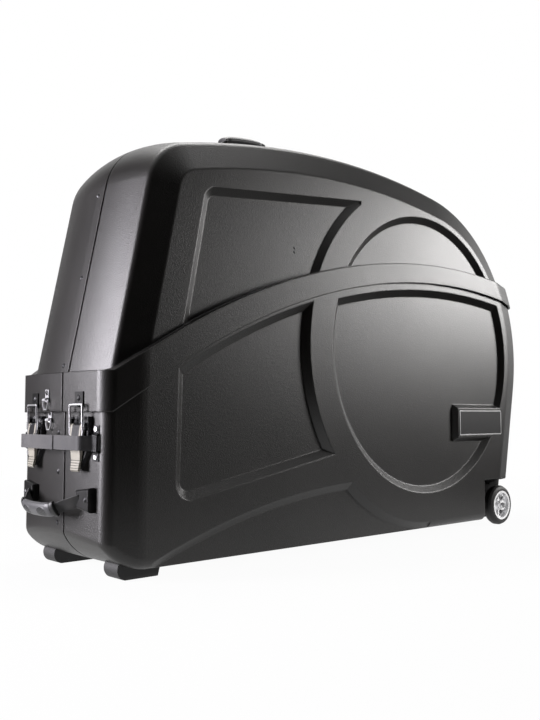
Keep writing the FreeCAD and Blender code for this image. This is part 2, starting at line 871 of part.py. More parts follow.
def make_dish(label, placement):
    body = new_body(label)
    outline = shield(S.dish_half, S.dish_top, S.dish_hip, S.dish_point)
    pad(body, sketch(body, "XY_Plane", [outline]), "Sizes.dish_depth")
    rim = S.dish_rim
    inner = shield(S.dish_half - rim, S.dish_top - rim, S.dish_hip, S.dish_point - 2 * rim)
    pocket(body, sketch(body, "XY_Plane", [inner], S.dish_depth), "Sizes.dish_depth - Sizes.dish_floor")
    edge = S.dish_half - rim
    low, high = S.pin_up - S.lug_half, S.pin_up + S.lug_half
    lugs = [rectangle(S.lug_in, low, edge, high), rectangle(-edge, low, -S.lug_in, high)]
    pad(body, sketch(body, "XY_Plane", lugs), "Sizes.lug_top")
    hole = sketch(body, "YZ_Plane", [ring_of(S.pin_up, S.pin_out, S.pin_radius)])
    pocket(body, hole, "2 * (Sizes.dish_half - Sizes.dish_rim)", symmetric=True)
    return keep(body, label, placement)


LEVER_UNDER_SHARES = ((0.36, 0.78), (-0.40, 1.06), (-0.97, 1.38))
LEVER_OUTER_SHARES = ((-1.0, 1.62), (-0.935, 1.9), (-0.6, 1.58), (0.17, 1.88))
RIB_COUNT = 4
RIB_START_SHARE = 0.6


def make_lever(label, placement):
    body = new_body(label)
    up, out, barrel, reach = S.pin_up, S.pin_out, S.lever_barrel, S.lever_reach
    under = [(a * reach, b * out) for a, b in LEVER_UNDER_SHARES]
    outer = [(a * reach, b * out) for a, b in LEVER_OUTER_SHARES]
    chain = [(up, out - barrel)] + under + outer + [(up, out + barrel)]
    profile = [seg(chain[k], chain[k + 1]) for k in range(len(chain) - 1)]
    profile.append(bow((up, out + barrel), (up + barrel, out), (up, out - barrel)))
    pad(body, sketch(body, "YZ_Plane", [profile]), "2 * Sizes.lever_half", symmetric=True)
    wide, slim, over = S.lever_half, S.lever_tip_half, S.overrun
    low = -reach - over
    shoulder = S.bail_up - S.lever_barrel
    flank = [(wide, shoulder), (wide + over, shoulder), (wide + over, low), (slim, low)]
    other = [(-x, y) for x, y in flank]
    sides = sketch(body, "XY_Plane", [loop_of(flank), loop_of(other)], 3 * out)
    pocket(body, sides, "4 * Sizes.pin_out")
    bores = [ring_of(up, out, S.pin_radius + S.pin_clear),
             ring_of(S.bail_up, S.bail_out, S.bail_radius + S.pin_clear)]
    pocket(body, sketch(body, "YZ_Plane", bores), "2 * (Sizes.lever_half + Sizes.overrun)", symmetric=True)
    tip, hollow = outer[1], outer[2]
    grade = (tip[1] - hollow[1]) / (tip[0] - hollow[0])
    grooves = []
    for k in range(RIB_COUNT):
        x = tip[0] + S.rib_pitch * (k + RIB_START_SHARE)
        grooves.append(ring_of(x, tip[1] + grade * (x - tip[0]) + S.rib_radius / 3, S.rib_radius))
    pocket(body, sketch(body, "YZ_Plane", grooves), "2 * Sizes.lever_half", symmetric=True)
    return keep(body, label, placement)


def bent_wire(points, radius):
    """Closed loop of round bar with mitred bends; the first point lies on a run along X."""
    count = int(S.wire_sides)
    path = Part.makePolygon([Vector(x, y, 0) for x, y in points + points[:1]])
    turns = [2 * math.pi * (k + 0.5) / count for k in range(count)]
    x, y = points[0]
    ring = [Vector(x, y + radius * math.cos(t), radius * math.sin(t)) for t in turns]
    return path.makePipeShell([Part.makePolygon(ring + ring[:1])], True, False, 1)


def bail_seat(dish, keeper, seat):
    """Where the bail's top bar lies, in the frame of the dish: up, out."""
    spot = keeper.multVec(Vector(0, S.bail_radius + S.bail_clear, seat))
    local = dish.inverse().multVec(spot)
    return local.y, local.z


def make_bail(label, dish, keeper, seat):
    up, out = bail_seat(dish, keeper, seat)
    tall = math.hypot(up - S.bail_up, out - S.bail_out)
    lean = math.atan2(out - S.bail_out, up - S.bail_up)
    half, bend = S.bail_half, S.bail_bend
    right = [(half - bend, 0), (half, bend), (half, tall - bend), (half - bend, tall)]
    solid = bent_wire([(0, 0)] + right + [(-x, y) for x, y in reversed(right)], S.bail_radius)
    turn = Placement(Vector(0, S.bail_up, S.bail_out), Rotation(Vector(1, 0, 0), math.degrees(lean)))
    return keep_shape(label, solid, dish.multiply(turn))


def keeper_solid(seat):
    """Bent plate: flat on the skirt, with a lip that the bail pulls down on."""
    g, lip, tall = S.keeper_gauge, seat + S.keeper_nose, S.keeper_plate
    points = [(0, g), (tall, g), (tall, 0), (-g, 0), (-g, lip), (0, lip)]
    face = Part.Face(Part.makePolygon([Vector(-S.keeper_half, a, b) for a, b in points + points[:1]]))
    return face.extrude(Vector(2 * S.keeper_half, 0, 0))


def turned(low, high, rise, base=0.0):
    """Short many-sided turned piece along the third axis, from one radius to another."""
    count = int(S.fastener_sides)
    rings = []
    for radius, z in ((low, base), (high, base + rise)):
        turns = [2 * math.pi * k / count for k in range(count)]
        ring = [Vector(radius * math.cos(t), radius * math.sin(t), z) for t in turns]
        rings.append(Part.makePolygon(ring + ring[:1]))
    return Part.makeLoft(rings, True, True)


def rivet_solid(grip):
    """Low domed head at the origin, shank inwards, flat tail behind the grip."""
    head, rise, r = S.rivet_head, S.rivet_rise, S.rivet_radius
    back = -grip - S.rivet_tail_clear
    crown = turned(head, head * math.sqrt(0.5), rise / 2)
    dome = turned(head * math.sqrt(0.5), head / 3, rise / 2, rise / 2)
    shank = turned(r, r, -back, back)
    tail = turned(S.rivet_tail, S.rivet_tail, S.rivet_tail_rise, back - S.rivet_tail_rise)
    return crown.fuse([dome, shank, tail]).removeSplitter()


def screw_solid(length, head=None, rise=None):
    head = head or S.screw_head
    rise = rise or S.screw_head_rise
    shank = turned(S.screw_radius, S.screw_radius, length, -length)
    return turned(head, head, rise).fuse(shank).removeSplitter()


def drill(radius, deep):
    wide = (radius + S.bore_clear) / math.cos(math.pi / S.fastener_sides)
    return turned(wide, wide, deep + S.overrun, -deep)


# Strap over the latches: two tails that lap in the middle, each looped on its own anchor

def make_anchor(label, placement):
    body = new_body(label)
    g, rise, window = S.anchor_gauge, S.anchor_bridge, S.anchor_window
    foot, end = S.anchor_foot, S.anchor_end
    half = [(window, rise - g), (foot, 0), (end, 0), (end, g), (foot + g / 2, g), (window + g / 2, rise)]
    points = half + [(-a, b) for a, b in reversed(half)]
    pad(body, sketch(body, "YZ_Plane", [loop_of(points)]), "2 * Sizes.anchor_half", symmetric=True)
    holes = [ring_of(0, S.screw_up, S.screw_radius), ring_of(0, -S.screw_up, S.screw_radius)]
    pocket(body, sketch(body, "XY_Plane", holes, g), "Sizes.anchor_gauge")
    return keep(body, label, placement)


def strap_profile(reach, lift):
    """Centre line of a tail across the end wall: (across, out from the crown)."""
    def wall_at(y):
        return S.end_crown - math.sqrt(S.end_crown ** 2 - y ** 2)
    low = S.anchor_bridge / 2 - S.anchor_gauge / 2
    outer = S.anchor_y + S.anchor_half + S.overrun
    inner = S.anchor_y - S.anchor_half - S.overrun / 4
    return [(outer, low - wall_at(outer)), (inner, low - wall_at(inner)),
            (S.strap_rise_y, S.strap_rise_out - wall_at(S.strap_rise_y)),
            (S.strap_turn_y, S.strap_turn_out - wall_at(S.strap_turn_y)),
            (S.strap_inner_y, S.strap_out + lift - wall_at(S.strap_inner_y) / 2),
            (reach, S.strap_out + lift), (-reach, S.strap_out + lift)]


def ribbon(points, gauge):
    """Closed outline of a band about a polyline."""
    left, right = [], []
    for k, here in enumerate(points):
        before = points[max(k - 1, 0)]
        after = points[min(k + 1, len(points) - 1)]
        a = Vector(here[0] - before[0], here[1] - before[1], 0)
        b = Vector(after[0] - here[0], after[1] - here[1], 0)
        a = a.normalize() if a.Length else Vector(b).normalize()
        b = b.normalize() if b.Length else Vector(a)
        n1, n2 = Vector(-a.y, a.x, 0), Vector(-b.y, b.x, 0)
        step = (n1 + n2) * (gauge / 2 / (1 + n1.dot(n2)))
        left.append((here[0] + step.x, here[1] + step.y))
        right.append((here[0] - step.x, here[1] - step.y))
    return left + right[::-1]


def make_tail(label, placement, side, lift):
    body = new_body(label)
    points = [(side * a, b) for a, b in strap_profile(S.strap_lap, lift)]
    band = ribbon(points, S.strap_gauge)
    pad(body, sketch(body, "XY_Plane", [loop_of(band)]), "Sizes.strap_width", symmetric=True)
    return keep(body, label, placement)


# Strap handles, drawn flat: along the hinge line, out from it, across the webbing

HANDLE_PATH_SHARES = ((0.93, 0.06), (0.72, 0.5), (0.52, 0.86), (0.26, 0.98), (0.0, 1.0))


def handle_path(rise):
    half = [(a * S.handle_half, b * rise) for a, b in HANDLE_PATH_SHARES]
    return [(-x, y) for x, y in half] + half[-2::-1]


def make_webbing(label, placement, rise):
    body = new_body(label)
    band = ribbon(handle_path(rise), S.webbing_gauge)
    pad(body, sketch(body, "XY_Plane", [loop_of(band)]), "Sizes.webbing_width", symmetric=True)
    return keep(body, label, placement)


GRIP_SAG_SHARE = 0.14


def make_grip(label, placement, rise):
    body = new_body(label)
    g, half = S.grip_gauge / 2, S.grip_half
    sag = rise * GRIP_SAG_SHARE
    top = [bow((-half, rise - sag + g), (0, rise + g), (half, rise - sag + g)),
           seg((half, rise - sag + g), (half, rise - sag - g)),
           bow((half, rise - sag - g), (0, rise - g), (-half, rise - sag - g)),
           seg((-half, rise - sag - g), (-half, rise - sag + g))]
    block = pad(body, sketch(body, "XY_Plane", [top]), "Sizes.grip_width", symmetric=True)
    limit = S.grip_width - S.overrun
    rounded = bevel_edges(body, block, "Sizes.grip_round", lambda e: e.BoundBox.ZLength < limit)
    body.Tip = rounded
    slot = ribbon(handle_path(rise), S.webbing_gauge)
    pocket(body, sketch(body, "XY_Plane", [loop_of(slot)]), "Sizes.webbing_width", symmetric=True)
    return keep(body, label, placement)


def cap_block(frame, nose):
    """Cover plate of a handle end: wide at the back, its nose towards the grip."""
    wide, slim, long = S.cap_width / 2, S.cap_nose, nose * S.cap_half
    points = [(-long, -wide), (long, -slim), (long, slim), (-long, wide)]
    deep = 2 * S.cap_rise
    face = Part.Face(Part.makePolygon([Vector(a, b, -deep) for a, b in points + points[:1]]))
    block = face.extrude(Vector(0, 0, deep + S.cap_rise))
    top = [e for e in block.Edges if e.BoundBox.ZMin > S.cap_rise / 2]
    return placed(block.makeFillet(S.cap_round, top), frame)


def top_frame():
    """Frame on the lid's roof at the middle of the top handle; first axis along the roof."""
    o = lid_outline()
    roof = o["roof"]
    turn = math.acos((S.top_handle_x - roof.x) / S.lid_roof_radius)
    out = Vector(math.cos(turn), 0, math.sin(turn))
    spot = roof + out * S.lid_roof_radius
    along = Vector(out.z, 0, -out.x)
    return Placement(spot, Rotation(along, out, along.cross(out), "ZYX"))


def tow_handle_frame():
    turn = math.radians(S.tow_handle_droop)
    back = S.end_crown - math.sqrt(S.end_crown ** 2 - S.handle_half ** 2)
    spot = xz(S.tow_x + back - S.handle_axis_out, S.tow_handle_z)
    out = Vector(-math.cos(turn), 0, -math.sin(turn))
    return Placement(spot, Rotation(Y_AXIS, out, Y_AXIS.cross(out), "ZYX"))


def tow_cap_frames():
    """Frames of the tow handle's covers with the way their noses point."""
    return [(tow_frame(-S.handle_half, S.tow_handle_z), -1), (tow_frame(S.handle_half, S.tow_handle_z), 1)]


def top_cap_frames():
    o = lid_outline()
    roof = o["roof"]
    frames = []
    for side in (-1, 1):
        turn = math.acos((S.top_handle_x + side * S.handle_half - roof.x) / S.lid_roof_radius)
        out = Vector(math.cos(turn), 0, math.sin(turn))
        frames.append((fitting_frame(roof + out * S.lid_roof_radius, Y_AXIS, out), -side))
    return frames


def handle_slot(frame, rise):
    """Room for the webbing inside the covers."""
    band = ribbon(handle_path(rise), S.webbing_gauge + 2 * S.ring_clear)
    slot = Part.Face(Part.makePolygon([Vector(a, b, 0) for a, b in band + band[:1]]))
    tall = S.webbing_width + 2 * S.ring_clear
    slot = slot.extrude(Vector(0, 0, tall))
    slot.translate(Vector(0, 0, -tall / 2))
    return placed(slot, frame)


def cap_rivet_frames(frames):
    return [moved(frame, -nose * S.cap_half / 2, 0, S.cap_rise) for frame, nose in frames]


def make_caps(label, frames, slot, wall_solid):
    """Both end covers of a handle: shaped to the wall, slotted for the webbing."""
    holes = [placed(drill(S.rivet_radius, S.cap_rise / 2), spot) for spot in cap_rivet_frames(frames)]
    covers = [cap_block(frame, nose).cut([wall_solid, slot] + holes) for frame, nose in frames]
    return keep_shape(label, Part.makeCompound(covers))


def blind_rivet():
    """Domed rivet whose shank ends inside the piece it holds."""
    solid = rivet_solid(S.cap_rise / 2)
    low = -S.cap_rise / 2
    size = S.rivet_head + S.overrun
    keep_in = span_box(Vector(-size, -size, low), Vector(size, size, S.rivet_rise + S.overrun))
    return solid.common(keep_in)


# Padlock rings

def tab_solid():
    """Folded tab: plate on the wall with an eye at its lower end."""
    g, half, tall, eye = S.tab_gauge, S.tab_half, S.tab_rise, S.tab_eye
    plate = Part.makeBox(2 * half, tall, g, Vector(-half, 0, 0))
    barrel = Part.makeCylinder(eye, 2 * half, Vector(-half, 0, eye), Vector(1, 0, 0))
    bore = Part.makeCylinder(eye - g, 2 * half, Vector(-half, 0, eye), Vector(1, 0, 0))
    return plate.fuse(barrel).cut(bore).removeSplitter()


def ring_solid():
    """Closed ring hanging in the eye of its tab: a long link with a straight top bar."""
    r, major, half = S.ring_wire, S.ring_major, S.tab_half + S.ring_wire + S.overrun
    drop = -2 * major
    bend = half / 2
    right = [(half - r, 0), (half, -r), (half, drop + half), (half - bend / 2, drop + bend), (bend, drop)]
    return bent_wire([(0, 0)] + right + [(-x, y) for x, y in reversed(right)], r)


def ring_frames():
    lid = tow_frame(S.ring_y, S.lid_ring_z, S.skirt_flare)
    base = tow_frame(S.ring_y, S.base_ring_z)
    return lid, base


# Feet

def make_foot(label, y):
    body = new_body(label)
    heel_x = S.tow_x - S.tow_heel_out + S.tow_heel_radius
    heel_z = S.floor_z + S.tow_heel_radius
    left, right, toe = S.foot_left, S.foot_right, S.foot_toe
    def heel_at(x):
        return heel_z - math.sqrt(S.tow_heel_radius ** 2 - (x - heel_x) ** 2)
    middle = 0.5 * (left + heel_x)
    outline = [bow((left, heel_at(left)), (middle, heel_at(middle)), (heel_x, S.floor_z)),
               seg((heel_x, S.floor_z), (right, S.floor_z)), seg((right, S.floor_z), (right - toe / 3, 0)),
               seg((right - toe / 3, 0), (left + toe, 0)),
               bow((left + toe, 0), (left + toe / 4, toe / 3), (left, heel_at(left)))]
    pad(body, sketch(body, "XZ_Plane", [outline]), "Sizes.foot_width", symmetric=True)
    low = [S.foot_screw_gap / 2, -S.foot_screw_gap / 2]
    centre = 0.5 * (left + right)
    head = S.screw_head + S.seat_clear
    wells = [ring_of(centre + d, 0, head) for d in low]
    pocket(body, sketch(body, "XY_Plane", wells), "Sizes.foot_recess + Sizes.screw_head_rise", reverse=True)
    bores = [ring_of(centre + d, 0, S.screw_radius) for d in low]
    pocket(body, sketch(body, "XY_Plane", bores), "Sizes.floor_z + Sizes.tow_heel_radius", reverse=True)
    return keep(body, label, Placement(Vector(0, y, 0), Rotation()))


def foot_screw_spots():
    centre = 0.5 * (S.foot_left + S.foot_right)
    spots = []
    for y in (-S.foot_y, S.foot_y):
        for d in (-S.foot_screw_gap / 2, S.foot_screw_gap / 2):
            out = Rotation(Vector(1, 0, 0), 180)
            spots.append(Placement(xz(centre + d, S.foot_recess + S.screw_head_rise, y), out))
    return spots


# Wheels: revolved about the Y axis

def make_tyre(label, placement):
    body = new_body(label)
    half, inner, outer, r = S.wheel_width / 2, S.tyre_inner, S.wheel_radius, S.tyre_round
    flank = [(outer - r, half), (outer - r / 3, half - r / 3), (outer, half - r)]
    points = [(inner, half)] + flank + [(x, -y) for x, y in reversed(flank)] + [(inner, -half)]
    outline = loop_of(points)
    revolve(body, sketch(body, "XY_Plane", [outline]))
    return keep(body, label, placement)


def revolve(body, profile):
    item = body.newObject("PartDesign::Revolution", body.Name + "_turn")
    item.Profile = profile
    axis = [f for f in body.Origin.OriginFeatures if f.Role == "Y_Axis"][0]
    item.ReferenceAxis = (axis, [""])
    item.Angle = 360
    doc.recompute()
    return item


WINDOW_SHARES = (1.15, 0.865)


def make_hub(label, placement):
    body = new_body(label)
    half, bore, boss = S.hub_width / 2, S.hub_bore, S.hub_boss
    outer, rim, web = S.tyre_inner, S.hub_rim, S.hub_web / 2
    side = S.wheel_width / 2
    inner = outer - rim
    points = [(bore, -half), (boss, -half), (boss, -web), (inner, -web), (inner, -side), (outer, -side),
              (outer, side), (inner, side), (inner, web), (boss, web), (boss, half), (bore, half)]
    revolve(body, sketch(body, "XY_Plane", [loop_of(points)]))
    slant = math.tan(math.pi / S.spoke_count)
    low, high = [share * r for share, r in zip(WINDOW_SHARES, (boss, inner))]
    wide, slim = high * slant - S.spoke_half, low * slant - S.spoke_half
    window = sketch(body, "XZ_Plane", [loop_of([(low, -slim), (high, -wide), (high, wide), (low, slim)])])
    cut = pocket(body, window, "2 * Sizes.hub_width", symmetric=True)
    ring = body.newObject("PartDesign::PolarPattern", body.Name + "_ring")
    ring.Originals = [cut]
    axis = [f for f in body.Origin.OriginFeatures if f.Role == "Y_Axis"][0]
    ring.Axis = (axis, [""])
    ring.Angle = 360
    ring.Occurrences = int(S.spoke_count)
    body.Tip = ring
    doc.recompute()
    return keep(body, label, placement)


def make_axle(label, side):
    """Stub axle: shank from the housing to the hub, head outside."""
    body = new_body(label)
    start = S.pocket_inner + S.housing_wall
    end = S.wheel_y + S.hub_width / 2 + S.axle_clear
    r, head = S.axle_radius, S.axle_head
    top = end + S.axle_head_rise
    bevel = S.axle_head_rise / 2
    points = [(0, start), (r, start), (r, end), (head, end),
              (head, top - bevel), (head - bevel, top), (0, top)]
    revolve(body, sketch(body, "XY_Plane", [loop_of(points)]))
    turn = Rotation(Vector(1, 0, 0), 180) if side < 0 else Rotation()
    return keep(body, label, Placement(xz(S.wheel_x, S.wheel_radius), turn))


def make_housing(label, side, outer):
    """Liner of the wheel pocket, open outwards and down, with a boss for the axle."""
    t, left, right, top = S.housing_wall, S.pocket_x, S.housing_right, S.pocket_top
    inner, lip = S.pocket_inner, S.housing_lip
    low = S.floor_z + S.heel_round
    shell = Part.makeBox(right - left, lip - inner, top - low, Vector(left, inner, low))
    hollow = Part.makeBox(right - left, lip - inner, top - low, Vector(left + t, inner + t, low - t))
    shell = shell.cut(hollow)
    stop = S.wheel_y - S.hub_width / 2 - S.axle_clear
    boss = Part.makeCylinder(S.housing_boss, stop - inner, xz(S.wheel_x, S.wheel_radius, inner), Y_AXIS)
    bore = Part.makeCylinder(S.axle_radius, stop, xz(S.wheel_x, S.wheel_radius, inner + t), Y_AXIS)
    shell = shell.fuse(boss).cut(bore).common(outer).removeSplitter()
    if side < 0:
        shell = shell.mirror(Vector(0, 0, 0), Y_AXIS)
    return keep_shape(label, shell)


def make_badge(label):
    body = new_body(label)
    tall = S.boss_high - S.boss_low - 2 * S.badge_margin
    a, b, r = S.badge_long / 2, tall / 2, S.badge_corner
    k = r * (1 - math.sqrt(0.5))
    outline = []
    quarter = [(a, b - r), (a - k, b - k), (a - r, b)]
    signs = [(1, 1), (-1, 1), (-1, -1), (1, -1)]
    runs = []
    for n, (sx, sy) in enumerate(signs):
        run = [(sx * x, sy * y) for x, y in quarter]
        runs.append(run if n % 2 == 0 else run[::-1])
    for n, run in enumerate(runs):
        outline.append(bow(*run))
        outline.append(seg(run[2], runs[(n + 1) % 4][0]))
    block = pad(body, sketch(body, "XY_Plane", [outline]), "Sizes.badge_gauge")
    top = S.badge_gauge / 2
    body.Tip = bevel_edges(body, block, "Sizes.badge_round", lambda e: e.BoundBox.ZMin > top)
    spot = xz(S.boss_left + S.badge_margin + a, 0.5 * (S.boss_low + S.boss_high), -S.side_half)
    return keep(body, label, Placement(spot, Rotation(Vector(1, 0, 0), 90)))


# Carrier inside the base: a slotted rail, a fork mount and a bracket cradle that slide on it

def inside_floor():
    return S.floor_z + S.wall + S.lap_wall


def make_rail(label):
    body = new_body(label)
    half, tall, slot, wide, lip = S.rail_half, S.rail_tall, S.rail_slot, S.rail_slot_wide, S.rail_lip
    deep = tall - S.rail_slot - lip
    points = [(-half, 0), (half, 0), (half, tall)]
    for centre in (half / 2, -half / 2):
        points += [(centre + slot, tall), (centre + slot, tall - lip), (centre + wide, tall - lip),
                   (centre + wide, tall - deep), (centre - wide, tall - deep), (centre - wide, tall - lip),
                   (centre - slot, tall - lip), (centre - slot, tall)]
    points.append((-half, tall))
    pad(body, sketch(body, "YZ_Plane", [loop_of(points)]), "Sizes.rail_length", symmetric=True)
    holes = [ring_of(x, 0, S.screw_radius) for x in rail_bolt_places()]
    lift = S.rail_tall
    pocket(body, sketch(body, "XY_Plane", holes, lift), "2 * Sizes.rail_tall", symmetric=True)
    return keep(body, label, Placement(xz(S.rail_x, inside_floor()), Rotation()))


def rail_bolt_places():
    end = S.rail_length / 2 - S.rail_bolt_end
    return [-end, 0.0, end]


def slider_points(top):
    """Section of a slider: a saddle over the rail with skirts down its flanks."""
    inner, out = S.rail_half + S.slider_clear, S.slider_half
    low, deck = S.rail_tall - S.slider_drop, S.rail_tall + S.rail_bolt_rise + S.overrun
    return [(-out, low), (-inner, low), (-inner, deck), (inner, deck),
            (inner, low), (out, low), (out, top), (-out, top)]


def make_fork_mount(label):
    """Saddle with two cheeks that carry the cross tube for the fork ends."""
    long, tall, cheek, half = S.fork_long, S.fork_tall, S.fork_cheek, S.slider_half
    top = S.rail_tall + S.rail_bolt_rise + S.overrun + S.slider_plate
    saddle = slider_points(top)
    face = Part.Face(Part.makePolygon([Vector(-long / 2, y, z) for y, z in saddle + saddle[:1]]))
    solid = face.extrude(Vector(long, 0, 0))
    axis_z = top + tall
    tube = S.fork_tube
    for side in (-1, 1):
        y = side * (half - cheek / 2) - cheek / 2
        spots = [(-long / 2, top), (long / 2, top), (tube, axis_z)]
        edges = [line(Vector(spots[0][0], y, top - cheek / 2), Vector(spots[1][0], y, top - cheek / 2)),
                 line(Vector(spots[1][0], y, top - cheek / 2), Vector(tube, y, axis_z)),
                 arc(Vector(tube, y, axis_z), Vector(0, y, axis_z + tube), Vector(-tube, y, axis_z)),
                 line(Vector(-tube, y, axis_z), Vector(spots[0][0], y, top - cheek / 2))]
        solid = solid.fuse(Part.Face(Part.Wire(edges)).extrude(Vector(0, cheek, 0)))
    solid = solid.fuse(Part.makeCylinder(tube, 2 * S.fork_half, Vector(0, -S.fork_half, axis_z), Y_AXIS))
    bore = S.skewer_radius + S.skewer_clear
    solid = solid.cut(Part.makeCylinder(bore, 4 * S.fork_half, Vector(0, -2 * S.fork_half, axis_z), Y_AXIS))
    obj = doc.addObject("Part::Feature", label)
    obj.Shape = solid.removeSplitter()
    return keep(obj, label, Placement(xz(S.fork_x, inside_floor()), Rotation()))


def fork_axis_z():
    deck = S.rail_tall + S.rail_bolt_rise + S.overrun + S.slider_plate
    return inside_floor() + deck + S.fork_tall


def make_skewer(label):
    """Through axle with a nut at the far end and a fork for the lever at the near end."""
    r, end = S.skewer_radius, S.fork_half
    near = -end - S.skewer_stick
    shaft = Part.makeCylinder(r, 2 * end + 2 * S.skewer_stick, Vector(0, near, 0), Y_AXIS)
    nut_y = end + S.skewer_stick - S.skewer_nut_long
    nut = Part.makeCylinder(S.skewer_nut, S.skewer_nut_long, Vector(0, nut_y, 0), Y_AXIS)
    eye_y = near - S.cam_pin
    eye_at = Vector(-S.cam_width / 4, eye_y, 0)
    eye = Part.makeCylinder(r + S.cam_pin / 2, S.cam_width / 2, eye_at, Vector(1, 0, 0))
    pin = Part.makeCylinder(S.cam_pin, 2 * S.cam_width, Vector(-S.cam_width, eye_y, 0), Vector(1, 0, 0))
    solid = shaft.fuse([nut, eye, pin]).removeSplitter()
    obj = doc.addObject("Part::Feature", label)
    obj.Shape = solid
    return keep(obj, label, Placement(xz(S.fork_x, fork_axis_z()), Rotation()))


def skewer_pin_y():
    return -S.fork_half - S.skewer_stick - S.cam_pin


def make_skewer_lever(label):
    """Cam lever: two round cheeks on the pin, joined into a flat arm that hangs down."""
    body = new_body(label)
    r, arm = S.cam_radius, S.cam_arm
    outline = [bow((r, 0), (0, r), (-r, 0)), seg((-r, 0), (-r / 2, -arm)),
               bow((-r / 2, -arm), (0, -arm - r / 2), (r / 2, -arm)), seg((r / 2, -arm), (r, 0))]
    eye = ring_of(0, 0, S.cam_pin + S.skewer_clear)
    pad(body, sketch(body, "YZ_Plane", [outline, eye]), "2 * Sizes.cam_width", symmetric=True)
    gap = S.skewer_radius + S.seat_clear
    deep = S.cam_radius + S.skewer_radius
    slot = rectangle(-gap, -deep, gap, deep)
    pocket(body, sketch(body, "XZ_Plane", [slot]), "4 * Sizes.cam_radius", symmetric=True)
    return keep(body, label, Placement(xz(S.fork_x, fork_axis_z(), skewer_pin_y()), Rotation()))


def cradle_top():
    deck = S.rail_tall + S.rail_bolt_rise + S.overrun + S.slider_plate
    return deck + S.cradle_tall


def make_cradle(label):
    """Saddle with a post whose head is notched for the bottom bracket."""
    body = new_body(label)
    deck = S.rail_tall + S.rail_bolt_rise + S.overrun + S.slider_plate
    top, half = cradle_top(), S.cradle_half
    notch = S.cradle_notch + S.pad_gauge
    lower = slider_points(deck)
    points = lower[:7] + [(half, deck), (half, top), (notch, top)]
    profile = [seg(points[k], points[k + 1]) for k in range(len(points) - 1)]
    profile.append(bow((notch, top), (0, top - notch), (-notch, top)))
    rest = [(-notch, top), (-half, top), (-half, deck), lower[7], lower[0]]
    profile += [seg(rest[k], rest[k + 1]) for k in range(len(rest) - 1)]
    pad(body, sketch(body, "YZ_Plane", [profile]), "Sizes.cradle_long", symmetric=True)
    return keep(body, label, Placement(xz(S.cradle_x, inside_floor()), Rotation()))


def make_cradle_pad(label):
    body = new_body(label)
    top, notch, g = cradle_top(), S.cradle_notch + S.pad_gauge, S.pad_gauge
    slim = notch - g
    outline = [bow((notch, top), (0, top - notch), (-notch, top)), seg((-notch, top), (-slim, top)),
               bow((-slim, top), (0, top - slim), (slim, top)), seg((slim, top), (notch, top))]
    pad(body, sketch(body, "YZ_Plane", [outline]), "Sizes.cradle_long", symmetric=True)
    return keep(body, label, Placement(xz(S.cradle_x, inside_floor()), Rotation()))


# Shell halves: the near half carries a joggled lap under the far half, riveted along the middle

BASE_RIVET_RISE_SHARES = (0.107, 0.215, 0.298)
BASE_RIVET_RUN_SHARE = 0.42
BASE_RIVET_TURN_SHARES = (-0.35, 0.1)
LID_RIVET_RISE_SHARES = (0.016, 0.215, 0.41)
LID_RIVET_ROOF_SHARES = (-0.345, -0.16, -0.02, 0.09, 0.185)
LID_RIVET_TURN_SHARES = (0.85, 0.62, 0.42)


def base_rivet_frames():
    tall = S.motif_z + S.wheel_end_radius
    frames = [tow_frame(0.0, share * tall) for share in BASE_RIVET_RISE_SHARES]
    heel = S.tow_x - S.tow_heel_out + S.tow_heel_radius
    for end, turn in ((S.rail_x - S.rail_length / 2, heel), (S.rail_x + S.rail_length / 2, toe_centre().x)):
        x = end + BASE_RIVET_RUN_SHARE * (turn - end)
        frames.append(fitting_frame(xz(x, S.floor_z), Y_AXIS, Vector(0, 0, -1)))
    for share in BASE_RIVET_TURN_SHARES:
        frames.append(wheel_frame(0.0, share * edge_turn()))
    return frames


def lid_rivet_frames():
    o = lid_outline()
    tall = S.motif_z + S.wheel_end_radius
    frames = []
    for share in LID_RIVET_RISE_SHARES:
        frames.append(fitting_frame(o["foot"] + o["along"] * (share * tall), o["along"], o["inward"] * -1))
    for share in LID_RIVET_ROOF_SHARES:
        turn = math.acos(share * (tall + S.motif_z) / S.lid_roof_radius)
        out = Vector(math.cos(turn), 0, math.sin(turn))
        frames.append(fitting_frame(o["roof"] + out * S.lid_roof_radius, Y_AXIS, out))
    for share in LID_RIVET_TURN_SHARES:
        turn = share * o["end_turn"]
        out = Vector(math.cos(turn), 0, math.sin(turn))
        frames.append(fitting_frame(xz(S.motif_x, S.motif_z) + out * o["end_r"], Y_AXIS, out))
    return frames


def y_slab(low, high):
    return span_box(Vector(-S.reach, low, -S.reach), Vector(S.reach, high, S.reach))


def halves(shell, lap, holes):
    """Near half with its lap, and far half, both drilled."""
    edge = S.seam_gap / 2
    near = shell.common(y_slab(-S.reach, S.seam_y - edge))
    far = shell.common(y_slab(S.seam_y + edge, S.reach))
    strip = lap.common(y_slab(S.seam_y - S.lap_half, S.seam_y + 2 * S.lap_half))
    near = near.fuse(strip).removeSplitter()
    return near.cut(holes), far.cut(holes)


TAB_RIVET_SHARE = 0.7
KEEPER_RIVET_SHARE = 0.55


def strap_turn():
    """Angle of the strap's level on the wheel end's arch."""
    return edge_turn() + (S.strap_z - S.latch_z - S.latch_below_edge) / S.wheel_end_radius


def strap_anchors():
    """Names and frames of the four strap anchors."""
    turn = strap_turn()
    return [("tow_near", tow_frame(-S.anchor_y, S.strap_z)), ("tow_far", tow_frame(S.anchor_y, S.strap_z)),
            ("wheel_near", wheel_frame(-S.anchor_y, turn)), ("wheel_far", wheel_frame(S.anchor_y, turn))]


def tab_rivet_spot(tab):
    """Where the rivet of a ring tab sits."""
    return moved(tab, 0, TAB_RIVET_SHARE * S.tab_rise, S.tab_gauge)


def keeper_rivet_spot(keeper):
    """Where the rivet of a keeper sits."""
    return moved(keeper, 0, KEEPER_RIVET_SHARE * S.keeper_plate, S.keeper_gauge)


